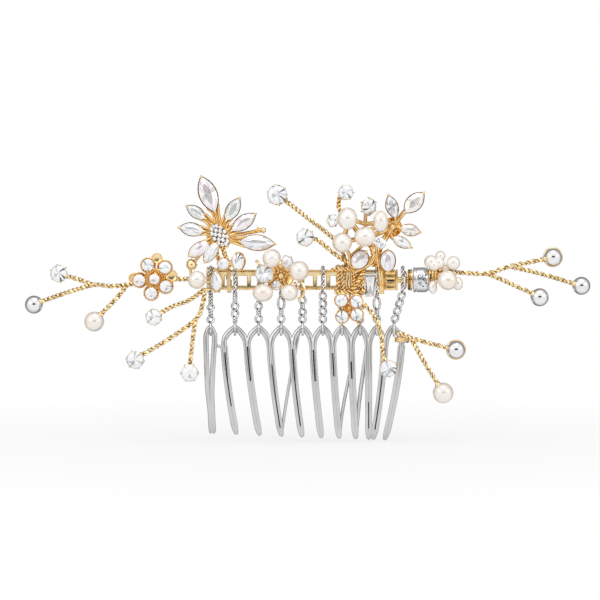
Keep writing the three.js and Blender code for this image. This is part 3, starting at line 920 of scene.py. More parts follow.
@dataclass
class Jeweller:
    """Sets stones and pearls: it owns the templates and the finishes."""

    finish: Finishes
    stones: StoneTemplates = field(default_factory=StoneTemplates)
    metal: MetalTemplates = field(default_factory=MetalTemplates)

    def cup_parts(self, place: Matrix, claws: int = 6) -> list[Part]:
        """A cup with claws round its rim.

        Args:
            place: Where the cup goes, its scale being its radius.
            claws: How many claws.

        Returns:
            The parts.
        """
        parts: list[Part] = [(self.metal.cup(), place, self.finish.gold)]
        for number in range(claws):
            turn = Matrix.Rotation(2 * math.pi * (number + 0.5) / claws, 4, "Z")
            parts.append((self.metal.claw(), place @ turn, self.finish.gold))
        return parts

    def round_stone(self, place: Matrix, material: bpy.types.Material, sparkle: float = 1.0) -> Part:
        """A brilliant that fills a cup.

        Args:
            place: The cup's place.
            material: The stone's material.
            sparkle: How strong the contrast is.

        Returns:
            The stone as a part.
        """
        seat = place @ Matrix.Translation((0, 0, 0.14)) @ Matrix.Diagonal((0.98, 0.98, 0.8, 1))
        return self.stones.with_painted_glints(Cut.BRILLIANT, sparkle), seat, material

    def long_stone(self, cut: Cut, place: Matrix, material: bpy.types.Material, sparkle: float = 0.7) -> Part:
        """A long stone that fills its collar.

        Args:
            cut: The stone's cut.
            place: The collar's place.
            material: The stone's material.
            sparkle: How strong the contrast is.

        Returns:
            The stone as a part.
        """
        return self.stones.with_painted_glints(cut, sparkle), place @ Matrix.Diagonal((0.95, 0.9, 1, 1)), material

    def rim_parts(self, cut: Cut, place: Matrix) -> list[Part]:
        """A collar with a claw at each end of a long stone.

        Args:
            cut: The stone's cut.
            place: Where the stone goes.

        Returns:
            The parts.
        """
        parts: list[Part] = [(self.metal.rim(cut), place, self.finish.rich_gold)]
        length, width = place.col[0].length, place.col[1].length
        size = 0.42 / length
        for side in (1, -1):
            claw = Matrix.Translation((side * 0.98, 0, 0.5)) @ Matrix.Diagonal((size, 0.36 / width, 0.26, 1))
            parts.append((self.metal.grain(), place @ claw, self.finish.rich_gold))
        return parts

    def beaded_ring(self, place: Matrix, beads: int, size: float = 0.11) -> list[Part]:
        """A ring of small grains round a place.

        Args:
            place: The ring's place, its scale being its radius.
            beads: How many grains.
            size: Each grain's radius as a share of the ring's.

        Returns:
            The parts.
        """
        parts: list[Part] = []
        for number in range(beads):
            turn = 2 * math.pi * number / beads
            spot = Matrix.Translation((math.cos(turn), math.sin(turn), 0)) @ Matrix.Scale(size, 4)
            parts.append((self.metal.grain(), place @ spot, self.finish.rich_gold))
        return parts


# ---- wires --------------------------------------------------------------------------------------


def smooth_route(points: list[Vector], spacing: float) -> list[Vector]:
    """Runs a smooth curve through points and samples it evenly.

    Args:
        points: The points to pass through.
        spacing: The wanted distance between samples.

    Returns:
        The samples.
    """
    padded = [2 * points[0] - points[1], *points, 2 * points[-1] - points[-2]]
    fine: list[Vector] = []
    for a, b, c, d in zip(padded, padded[1:], padded[2:], padded[3:]):
        for number in range(12):
            t = number / 12
            fine.append(0.5 * (
                2 * b + (c - a) * t + (2 * a - 5 * b + 4 * c - d) * t * t + (3 * b - a - 3 * c + d) * t ** 3
            ))
    fine.append(points[-1])
    samples, wanted, walked = [fine[0]], spacing, 0.0
    for here, there in zip(fine, fine[1:]):
        span = (there - here).length
        while span > 0 and walked + span >= wanted:
            samples.append(here.lerp(there, (wanted - walked) / span))
            wanted += spacing
        walked += span
    if (samples[-1] - fine[-1]).length > spacing * 0.3:
        samples.append(fine[-1])
    return samples


class WireBench:
    """Draws wires as curves and turns them into meshes."""

    @staticmethod
    def drawn(
        strands: list[list[Vector]], radius: float, sides: int = 2, loop: bool = False,
        swell: Callable[[Vector], float] | None = None,
    ) -> bpy.types.Mesh:
        """Draws round wires through given points.

        Args:
            strands: Each wire's points, in millimetres.
            radius: The wire's radius.
            sides: The curve's bevel resolution.
            loop: Whether each wire closes on itself.
            swell: Gives the share of the radius at a point, where the wire's thickness changes.

        Returns:
            The wires' mesh.
        """
        curve = bpy.data.curves.new("wire", "CURVE")
        curve.dimensions = "3D"
        curve.bevel_depth = radius
        curve.bevel_resolution = sides
        curve.use_fill_caps = True
        for strand in strands:
            spline = curve.splines.new("POLY")
            spline.points.add(len(strand) - 1)
            for point, place in zip(spline.points, strand):
                point.co = (*place, 1.0)
                point.radius = swell(place) if swell else 1.0
            spline.use_cyclic_u = loop
        wire = bpy.data.objects.new("wire", curve)
        bpy.context.scene.collection.objects.link(wire)
        Bench.clear()
        wire.select_set(True)
        bpy.context.view_layer.objects.active = wire
        bpy.ops.object.convert(target="MESH")
        return Bench.take(50)

    @staticmethod
    def mark_recess(mesh: bpy.types.Mesh, route: list[Vector], reach: float) -> None:
        """Gives each point of a rope its distance from the rope's axis, as a share of the rope's radius; the
        crevice finishes paint shade from it.

        Args:
            mesh: The rope.
            route: Points along its axis.
            reach: The rope's radius.
        """
        tree = KDTree(len(route))
        for number, place in enumerate(route):
            tree.insert(place, number)
        tree.balance()
        recess = mesh.attributes.new("recess", "FLOAT", "POINT")
        for vertex in mesh.vertices:
            recess.data[vertex.index].value = tree.find(vertex.co)[2] / reach

    @staticmethod
    def twisted(points: list[Point], thickness: float = 1.0, pitch: float = 2.3) -> bpy.types.Mesh:
        """Twists two strands together along a route.

        Args:
            points: The route's points, in millimetres.
            thickness: The rope's outer diameter.
            pitch: Length of one full turn.

        Returns:
            The rope's mesh.
        """
        route = smooth_route([Vector(p) for p in points], pitch / 14)
        strand = thickness * 0.27
        side = Vector((0, 1, 0)) if abs((route[1] - route[0]).normalized().y) < 0.9 else Vector((1, 0, 0))
        strands: list[list[Vector]] = [[], []]
        for number, here in enumerate(route):
            ahead = (route[min(number + 1, len(route) - 1)] - route[max(number - 1, 0)]).normalized()
            side = (side - ahead * side.dot(ahead)).normalized()
            other = ahead.cross(side)
            turn = 2 * math.pi * number / 14
            arm = (math.cos(turn) * side + math.sin(turn) * other) * (thickness / 2 - strand)
            strands[0].append(here + arm)
            strands[1].append(here - arm)
        rope = WireBench.drawn(strands, strand, 1)
        # This distance drives the painted shade between the strands.
        WireBench.mark_recess(rope, route, thickness / 2)
        return rope

    @staticmethod
    def bar_loop(x: float, slant: float, half: Spot, z: float) -> list[Point]:
        """A closed route round the flat bar.

        Args:
            x: Where the loop lies.
            slant: How far its top leans to the right in front, and to the left behind.
            half: Half the loop's depth and height.
            z: The bar's height.

        Returns:
            The route's points.
        """
        points = []
        for number in range(17):
            turn = 2 * math.pi * number / 16
            across, up = math.cos(turn), math.sin(turn)
            y = math.copysign(abs(across) ** 0.45, across) * half[0]
            height = math.copysign(abs(up) ** 0.45, up) * half[1]
            lean = -slant * math.copysign(1, across) * height / half[1] if abs(across) > 1e-6 else 0.0
            points.append((x + lean, y, z + height))
        return points

    @staticmethod
    def plain(points: list[Point], thickness: float) -> bpy.types.Mesh:
        """Draws one smooth round wire through points.

        Args:
            points: The route's points, in millimetres.
            thickness: The wire's diameter.

        Returns:
            The wire's mesh.
        """
        return WireBench.drawn([smooth_route([Vector(p) for p in points], thickness * 0.45)], thickness / 2)

    @staticmethod
    def bar_turns(x: float, turns: int, thickness: float, half: Spot, z: float) -> bpy.types.Mesh:
        """Winds a wire round the flat bar.

        Args:
            x: Where the first turn is.
            turns: How many turns lie side by side.
            thickness: The wire's diameter.
            half: Half the winding's depth and height.
            z: The bar's height.

        Returns:
            The winding's mesh.
        """
        points = []
        for number in range(24 * turns + 1):
            turn = 2 * math.pi * number / 24
            across, up = math.cos(turn), math.sin(turn)
            y = math.copysign(abs(across) ** 0.45, across) * half[0]
            height = math.copysign(abs(up) ** 0.45, up) * half[1]
            points.append(Vector((x + thickness * 1.02 * number / 24, y, z + height)))
        return WireBench.drawn([points], thickness / 2)


HERE = Matrix.Identity(4)


# ---- comb ---------------------------------------------------------------------------------------


@dataclass(frozen=True)
class Crease:
    """A dark wire laid as painted shade in the gap between the halves of a tooth: its ends, its place beside
    the tooth's middle, its radius.
    """

    tooth: int
    high: float
    low: float
    beside: float = 0.1
    radius: float = 0.2


@dataclass
class WireComb:
    """The silver comb: pointed arches over doubled teeth, bent to follow the head."""

    finish: Finishes
    wire: float = 1.5
    flatness: float = 0.65
    peak_z: float = 29.4
    joint_z: float = 25.4
    arches: int = 9
    end_loop_x: float = -23.6
    tip_drop: float = 1.5
    bow: float = 1.8
    sweep: float = 1.2
    head_curve: float = 2.6
    strand_gap: float = 0.45
    arch_gap: float = 0.38
    leg_share: float = 0.64
    crease_depth: float = 0.34
    creases: tuple[Crease, ...] = (
        Crease(0, 22.6, 16.0), Crease(0, 16.2, 9.0, 0.1, 0.15), Crease(1, 24.0, 15.4),
        Crease(2, 19.5, 3.6, 0.16, 0.15),
        Crease(3, 23.4, 15.5), Crease(3, 15.7, 4.0, 0.1, 0.15), Crease(4, 23.2, 15.4),
        Crease(5, 22.4, 16.6, 0.0),
        Crease(6, 20.3, 16.0, -0.1), Crease(7, 10.0, 3.3, 0.0, 0.15), Crease(8, 23.4, 20.6, 0.0),
        Crease(8, 16.8, 3.0, -0.1, 0.17),
    )

    def peak_x(self, number: int) -> float:
        """The middle of an arch, which stands under its tie."""
        if number == self.arches - 1:
            return -17.5 + 6.05 * number - 0.14 * number * number
        return box_middle(f"tie_{number + 2:02d}").x

    def tip(self, number: int) -> Spot:
        """The lowest point of a tooth, as (x, z)."""
        x = -17.25 + 6.02 * number - 0.17 * number * number
        return x, self.tip_drop * (1 - number / (self.arches - 1))

    def joint_x(self, number: int) -> float:
        """The foot between two arches, or the outer leg.

        Args:
            number: The joint's number, from the left.

        Returns:
            The joint's x.
        """
        if number == 0:
            return self.peak_x(0) - 2.8
        if number == self.arches:
            return self.peak_x(self.arches - 1) + 2.3
        return (self.peak_x(number - 1) + self.peak_x(number)) / 2

    def teeth(self) -> list[tuple[float, Spot]]:
        """Every tooth's top and tip; the last two but one share a tip.

        Returns:
            Each tooth's top x, and its tip as x and z.
        """
        shared = self.tip(self.arches - 2)
        teeth = [(self.joint_x(n), self.tip(n)) for n in range(self.arches - 2)]
        teeth.append((self.joint_x(self.arches - 2), (shared[0] - 0.55, shared[1])))
        teeth.append((self.joint_x(self.arches - 1), (shared[0] + 0.6, shared[1])))
        teeth.append((self.joint_x(self.arches), self.tip(self.arches - 1)))
        return teeth

    def arch(self, number: int) -> list[Vector]:
        """The route of one pointed arch, flat in the XZ plane.

        Args:
            number: The arch's number, from the left.

        Returns:
            The places along the arch, from left to right.
        """
        peak = self.peak_x(number)
        left = self.joint_x(number) + (self.arch_gap if number else 0.0)
        right = self.joint_x(number + 1) - (self.arch_gap if number + 1 < self.arches else 0.0)
        top = self.peak_z - self.wire / 2
        rise = top - self.joint_z
        side = [(0.0, -0.42), (0.0, -0.21), (0.02, 0.0), (0.13, 0.28), (0.3, 0.51), (0.53, 0.72), (0.78, 0.9)]
        corners = [(left + share * (peak - left), self.joint_z + up * rise) for share, up in side]
        corners.append((peak, top))
        corners += [(right - share * (right - peak), self.joint_z + up * rise)
                    for share, up in reversed(side)]
        return smooth_route([Vector((x, 0, z)) for x, z in corners], 0.22)

    def arch_swell(self, place: Vector) -> float:
        """An arch is widest at its peak and narrows to a leg."""
        share = min(1.0, max(0.0, (place.z - self.joint_z + 2.2) / 3.4))
        return self.leg_share + (1.04 - self.leg_share) * share

    def shoulder(self, joint: int, tooth: tuple[float, Spot]) -> list[Vector]:
        """The full wire that leads an outer leg into its doubled tooth.

        Args:
            joint: The number of the leg's joint.
            tooth: The tooth's top x and its tip.

        Returns:
            The places along the wire, from the top down.
        """
        top = Vector((self.joint_x(joint), 0, self.joint_z + 0.1))
        heights = (self.joint_z - 0.5, self.joint_z - 1.2, self.joint_z - 2.4, self.joint_z - 3.4)
        return [top, *(Vector((self.tooth_middle(tooth, z), 0, z)) for z in heights)]

    def shoulder_swell(self, place: Vector) -> float:
        """A shoulder thins out at its foot."""
        return 0.55 + 0.45 * min(1.0, max(0.0, (place.z - self.joint_z + 3.4) / 1.6))

    def loop_swell(self, place: Vector) -> float:
        """The end loop is thinnest at its foot."""
        return 0.84 + 0.16 * min(1.0, max(0.0, (place.z - 5.0) / 15.0))

    def tooth_middle(self, tooth: tuple[float, Spot], z: float) -> float:
        """The x of a tooth's middle at a height.

        Args:
            tooth: The tooth's top x and its tip.
            z: The height.

        Returns:
            The x of the middle.
        """
        top_x, tip = tooth
        down = min(1.0, max(0.0, (self.joint_z + 0.6 - z) / (self.joint_z + 0.6 - tip[1])))
        return top_x + (tip[0] - top_x) * down ** 1.5

    def tooth(self, tooth: tuple[float, Spot]) -> list[Vector]:
        """The route of one tooth: a wire that runs down, round the tip and up again beside itself.

        Args:
            tooth: The tooth's top x and its tip.

        Returns:
            The places along the wire.
        """
        tip = tooth[1]
        foot = tip[1] + self.wire * 0.5 * self.leg_share
        height = self.joint_z - 1.5 - foot
        shares = (0.0, 0.2, 0.4, 0.6, 0.8, 0.93)

        def leg(side: int) -> list[Vector]:
            """One half of the tooth from top to foot.

            Args:
                side: -1 for the left half, 1 for the right.

            Returns:
                The places along that half.
            """
            places = []
            for down in shares:
                z = foot + 0.4 + height * (1 - down)
                gap = self.strand_gap * (1 - 0.14 * down)
                places.append(Vector((self.tooth_middle(tooth, z) + side * gap, 0, z)))
            return places

        return smooth_route([*leg(-1), Vector((tip[0], 0, foot)), *reversed(leg(1))], 0.3)

    def painted_gap_shade(self, crease: Crease) -> bpy.types.Mesh:
        """A dark wire laid in the gap between the halves of a tooth, as painted shade.

        Args:
            crease: Which gap.

        Returns:
            The gap's mesh.
        """
        tooth = self.teeth()[crease.tooth]
        steps = 12
        heights = [crease.high + (crease.low - crease.high) * n / steps for n in range(steps + 1)]
        line = [Vector((self.tooth_middle(tooth, z) + crease.beside, -self.crease_depth, z)) for z in heights]
        return WireBench.drawn([line], crease.radius, 2)

    def back_strand(self, top: Spot, tip: Spot) -> list[Vector]:
        """A strand that opens out beside its tooth."""
        middle = Vector(((top[0] + tip[0]) / 2 - 0.3, 1.6, (top[1] + tip[1]) / 2))
        return smooth_route([Vector((top[0], 0.6, top[1])), middle, Vector((tip[0], 0.6, tip[1] + 1.2))], 0.4)

    def bend(self, mesh: bpy.types.Mesh) -> None:
        """Squeezes the wires flat and bows the teeth to follow the head behind them."""
        for vertex in mesh.vertices:
            down = min(1.0, max(0.0, (self.joint_z + 1 - vertex.co.z) / (self.joint_z + 1)))
            outward = vertex.co.x / 24
            back = ((self.sweep + self.head_curve * outward * outward) * down
                    - self.bow * math.sin(math.pi * down))
            vertex.co.y = vertex.co.y * self.flatness + back

    def end_loop(self) -> list[Vector]:
        """The narrow closed loop at the left end.

        Returns:
            The places round the loop.
        """
        top, x = self.peak_z - self.wire / 2 + 0.1, self.end_loop_x
        low = self.tip_drop + 0.6
        corners = [
            (0.3, low), (-0.08, low + 1), (-0.3, 8), (-0.79, 13), (-1.05, 20), (-1.2, top - 3),
            (-0.95, top - 1.3),
            (-0.15, top), (0.72, top - 1.3), (0.98, top - 3), (0.6, 20), (0.31, 13), (0.45, 8),
            (0.68, low + 1),
            (0.32, low),
        ]
        return smooth_route([Vector((x + a, 0, b)) for a, b in corners], 0.25)

    def build(self) -> None:
        """Builds the comb and hands it to the frame."""
        routes = [self.arch(n) for n in range(self.arches)]
        arches = WireBench.drawn(routes, self.wire / 2, 3, swell=self.arch_swell)
        legs = WireBench.drawn([self.tooth(tooth) for tooth in self.teeth()],
                               self.wire / 2 * self.leg_share, 5)
        teeth = self.teeth()
        shoulders = [self.shoulder(0, teeth[0]), self.shoulder(self.arches, teeth[-1])]
        broad = self.back_strand((self.joint_x(7) - 0.35, self.joint_z - 1.4), self.tip(6))
        strands = [
            self.back_strand((self.joint_x(6) - 0.35, 17.0), self.tip(5)),
            self.back_strand((self.peak_x(3) - 0.9, self.joint_z + 2.2), self.tip(2)),
        ]
        x = self.end_loop_x
        silver = [
            arches, legs, WireBench.drawn(shoulders, self.wire * 0.47, 3, swell=self.shoulder_swell),
            WireBench.drawn([broad], 0.52, 3), WireBench.drawn(strands, 0.42, 2),
            WireBench.drawn([self.end_loop()], self.wire * 0.46, 3, swell=self.loop_swell),
            WireBench.plain([(x + 1, 0.5, 24.6), (-22, 0.8, 24.2), (self.joint_x(0), 0.5, 23.8)], 0.8),
        ]
        # Painted shade: dark wires stand for the shadow in the gaps between the teeth's halves.
        dark = [self.painted_gap_shade(crease) for crease in self.creases]
        for mesh in (*silver, *dark):
            self.bend(mesh)
        parts = [(mesh, HERE, self.finish.comb_silver) for mesh in silver]
        parts += [(mesh, HERE, self.finish.oxide_and_shade) for mesh in dark]
        Bench.set_down("wire_comb", parts, "comb", ("comb_wire",), Slot.SILVER)
        LOG.info("comb with %d arches", self.arches)


# ---- ties ---------------------------------------------------------------------------------------


class TieStyle(Enum):
    """How a tie is twisted, from the arch up: the height of each eyelet, and 0 for a plain twist."""

    PLAIN = (1.6, 0.0, 1.3, 0.0, 0.0)
    HIGH_EYES = (0.0, 1.9, 1.9, 0.0, 0.0)
    SPREAD_EYES = (1.9, 0.0, 1.9, 0.0, 0.0)
    BIG_EYE = (2.0, 0.0, 3.4, 0.0)
    FOUR_EYES = (1.8, 1.8, 1.8, 1.8)
    THREE_EYES = (1.8, 1.8, 0.0, 1.8, 0.0)


@dataclass
class TwistedTies:
    """Ten doubled silver wires, looped on an arch, twisted with open eyelets and wound on the bar."""

    finish: Finishes
    wire: float = 0.64
    loop_radius: float = 1.7
    ring: Spot = (1.15, 1.5)
    twist_length: float = 1.25
    bar_half: Spot = (1.25, 3.1)
    styles: tuple[TieStyle, ...] = (
        TieStyle.PLAIN, TieStyle.HIGH_EYES, TieStyle.SPREAD_EYES, TieStyle.BIG_EYE, TieStyle.THREE_EYES,
        TieStyle.FOUR_EYES, TieStyle.SPREAD_EYES, TieStyle.PLAIN, TieStyle.BIG_EYE, TieStyle.FOUR_EYES,
    )

    def strands(self, style: TieStyle, low: Vector, high: Vector) -> list[list[Vector]]:
        """The two strands of a tie between its loops.

        Args:
            style: How the tie is twisted.
            low: Its lower end.
            high: Its upper end.

        Returns:
            The points of both strands.
        """
        run = (high - low).length
        fixed = sum(style.value)
        twists = style.value.count(0.0)
        spare = (run - fixed) / twists if twists else 0.0
        spans = [(height, True) if height else (spare, False) for height in style.value]
        if not twists:
            spans = [(height * run / fixed, True) for height, _ in spans]
        both: list[list[Vector]] = [[], []]
        done, turn = 0.0, math.pi / 2
        for length, open_eye in spans:
            steps = 14
            half_turns = 1 if open_eye else max(2, 2 * round(length / self.twist_length))
            for number in range(steps):
                share = number / steps
                if open_eye:
                    arm = 0.3 + 0.46 * math.sin(math.pi * share) ** 0.7
                    angle = turn + math.pi * (share - 0.5) ** 3 * 4 + math.pi / 2
                else:
                    arm = 0.3
                    angle = turn + math.pi * half_turns * share
                here = low.lerp(high, (done + length * share) / run)
                reach = Vector((arm * math.cos(angle), 0.8 * arm * math.sin(angle), 0))
                both[0].append(here + reach)
                both[1].append(here - reach)
            done += length
            turn += math.pi * half_turns
        return both

    def build(self) -> None:
        """Builds the ties and hands them to the frame."""
        bar = box_middle("gallery_bar")
        for number, style in enumerate(self.styles, 1):
            name = f"tie_{number:02d}"
            low_corner, high_corner = (Vector(c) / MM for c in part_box(name))
            arch_x = box_middle(name).x
            top_x, ring_size = arch_x, self.ring
            if number == len(self.styles):
                arch_x, top_x = low_corner.x + 1.05, high_corner.x - 0.25
                ring_size = (self.loop_radius, self.loop_radius)
            loop_z = low_corner.z + self.loop_radius + 0.25
            low = Vector((arch_x, 0, loop_z + ring_size[1]))
            high = Vector((top_x, 0, bar.z - self.bar_half[1]))
            ring = []
            for step in range(28):
                turn = 2 * math.pi * step / 28
                ring.append(Vector((arch_x, ring_size[0] * math.cos(turn),
                                    loop_z + ring_size[1] * math.sin(turn))))
            hanger = WireBench.drawn(self.strands(style, low, high), self.wire / 2, 2)
            steps = max(2, round((high - low).length / 0.1))
            # Painted shade: the tie's strands darken near its axis.
            WireBench.mark_recess(hanger, [low.lerp(high, n / steps) for n in range(steps + 1)], 0.72)
            arch_loop = WireBench.drawn([ring], self.wire / 2, 2, loop=True)
            WireBench.mark_recess(arch_loop, [Vector((arch_x, 0, loop_z))], 1.0)
            wrap = WireBench.twisted(WireBench.bar_loop(top_x, 0.0, self.bar_half, bar.z), 1.0, 2.0)
            parts = [(mesh, HERE, self.finish.tie_silver) for mesh in (hanger, arch_loop, wrap)]
            Bench.set_down(f"twisted_{name}", parts, "ornament", (name,), Slot.SILVER)
        LOG.info("%d ties", len(self.styles))


# ---- bar ----------------------------------------------------------------------------------------


@dataclass
class GalleryBar:
    """The gold bar: a strip pierced with framed windows and edged with small grains."""

    jeweller: Jeweller
    depth: float = 1.2
    window: Spot = (2.3, 2.5)
    pitch: float = 3.3
    first_window: float = 1.2
    right: float = 18.0

    def strip(self, left: float, low: float, high: float) -> bpy.types.Mesh:
        """Pierces a strip: a sheet of faces with the windows left out, thickened and bevelled.

        Args:
            left: The strip's left end.
            low: Its lower edge.
            high: Its upper edge.

        Returns:
            The strip's mesh.
        """
        rows = [low, low + 0.35]
        window_low = (low + high) / 2 - 0.2 - self.window[1] / 2
        rows += [window_low, window_low + self.window[1], high - 0.5, high]
        columns = [left]
        x = left + self.first_window
        while x + self.window[0] + 0.1 < self.right - 0.8:
            columns += [x, x + self.window[0]]
            x += self.pitch
        columns.append(self.right)
        sheet = bmesh.new()
        grid = [[sheet.verts.new((a, 0, b)) for b in rows] for a in columns]
        for i in range(len(columns) - 1):
            for j in range(len(rows) - 1):
                if j == 2 and i % 2 == 1:
                    continue
                sheet.faces.new((grid[i][j], grid[i + 1][j], grid[i + 1][j + 1], grid[i][j + 1]))
        mesh = bpy.data.meshes.new("strip")
        sheet.to_mesh(mesh)
        sheet.free()
        strip = bpy.data.objects.new("strip", mesh)
        bpy.context.scene.collection.objects.link(strip)
        wall = strip.modifiers.new("wall", "SOLIDIFY")
        wall.thickness = self.depth
        wall.offset = 0
        edge = strip.modifiers.new("edge", "BEVEL")
        edge.width = 0.12
        edge.segments = 2
        edge.limit_method = "ANGLE"
        Bench.apply(strip)
        return Bench.take(40)

    def build(self) -> None:
        """Builds the bar and hands it to the frame."""
        low, high = (Vector(c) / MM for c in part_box("gallery_bar"))
        gold = self.jeweller.finish.rich_gold
        middle = (low.z + high.z) / 2
        dark = self.jeweller.finish.amber
        parts: list[Part] = [(self.strip(low.x, low.z, high.z), HERE, self.jeweller.finish.gold)]
        for z in (high.z - 0.42, low.z + 0.36):
            line = [Vector((low.x + 0.2, -self.depth / 2, z)), Vector((self.right - 0.2, -self.depth / 2, z))]
            parts.append((WireBench.drawn([line], 0.07, 1), HERE, dark))
        count = round((self.right - low.x) / 0.62)
        for number in range(count):
            x = low.x + 0.31 + number * 0.62
            for z, size in ((high.z - 0.14, 0.27), (low.z + 0.12, 0.17)):
                parts.append((self.jeweller.metal.grain(), front(x, -self.depth / 2, z, size),
                              self.jeweller.finish.gold))
        x = low.x + self.first_window
        while x + self.window[0] + 0.1 < self.right - 0.8:
            centre = (x + self.window[0] / 2, middle - 0.2)
            half = (self.window[0] / 2 + 0.05, self.window[1] / 2 + 0.05)
            corners = [(-half[0], -half[1]), (half[0], -half[1]), (half[0], half[1]), (-half[0], half[1])]
            frame_points = [Vector((centre[0] + a, -self.depth / 2, centre[1] + b)) for a, b in corners]
            parts.append((WireBench.drawn([frame_points], 0.12, 1, loop=True), HERE, gold))
            x += self.pitch
        tang = WireBench.drawn([[Vector((self.right - 0.6, 0, middle)), Vector((high.x, 0, middle))]], 0.72,
                               3)
        parts.append((tang, HERE, gold))
        Bench.set_down("pierced_bar", parts, "ornament", ("gallery_bar",), Slot.GOLD)
        braid: list[Part] = []
        rope = self.jeweller.finish.rich_rope
        for x, slant in ((8.3, 0.25), (9.5, -0.2), (12.3, 0.9), (13.5, 0.9), (14.4, 0.5)):
            loop = WireBench.bar_loop(x, slant, (1.5, 3.3), middle)
            braid.append((WireBench.twisted(loop, 1.15, 2.1), HERE, rope))
        for route in (
            [(7.4, -2.2, middle - 2.9), (10.8, -2.6, middle - 3.1), (14.8, -2.2, middle - 2.7)],
            [(6.6, -2.2, middle + 2.6), (9.4, -2.6, middle + 2.8), (12.9, -2.3, middle + 2.5)],
            [(14.9, -2.3, middle + 2.4), (13.4, -2.7, middle), (11.9, -2.4, middle - 2.2)],
        ):
            braid.append((WireBench.twisted(route, 1.15, 2.1), HERE, rope))
        Bench.set_down("braid_wrap", braid, "ornament", (), Slot.GOLD)
        LOG.info("gallery bar with %d rim grains", 2 * count)


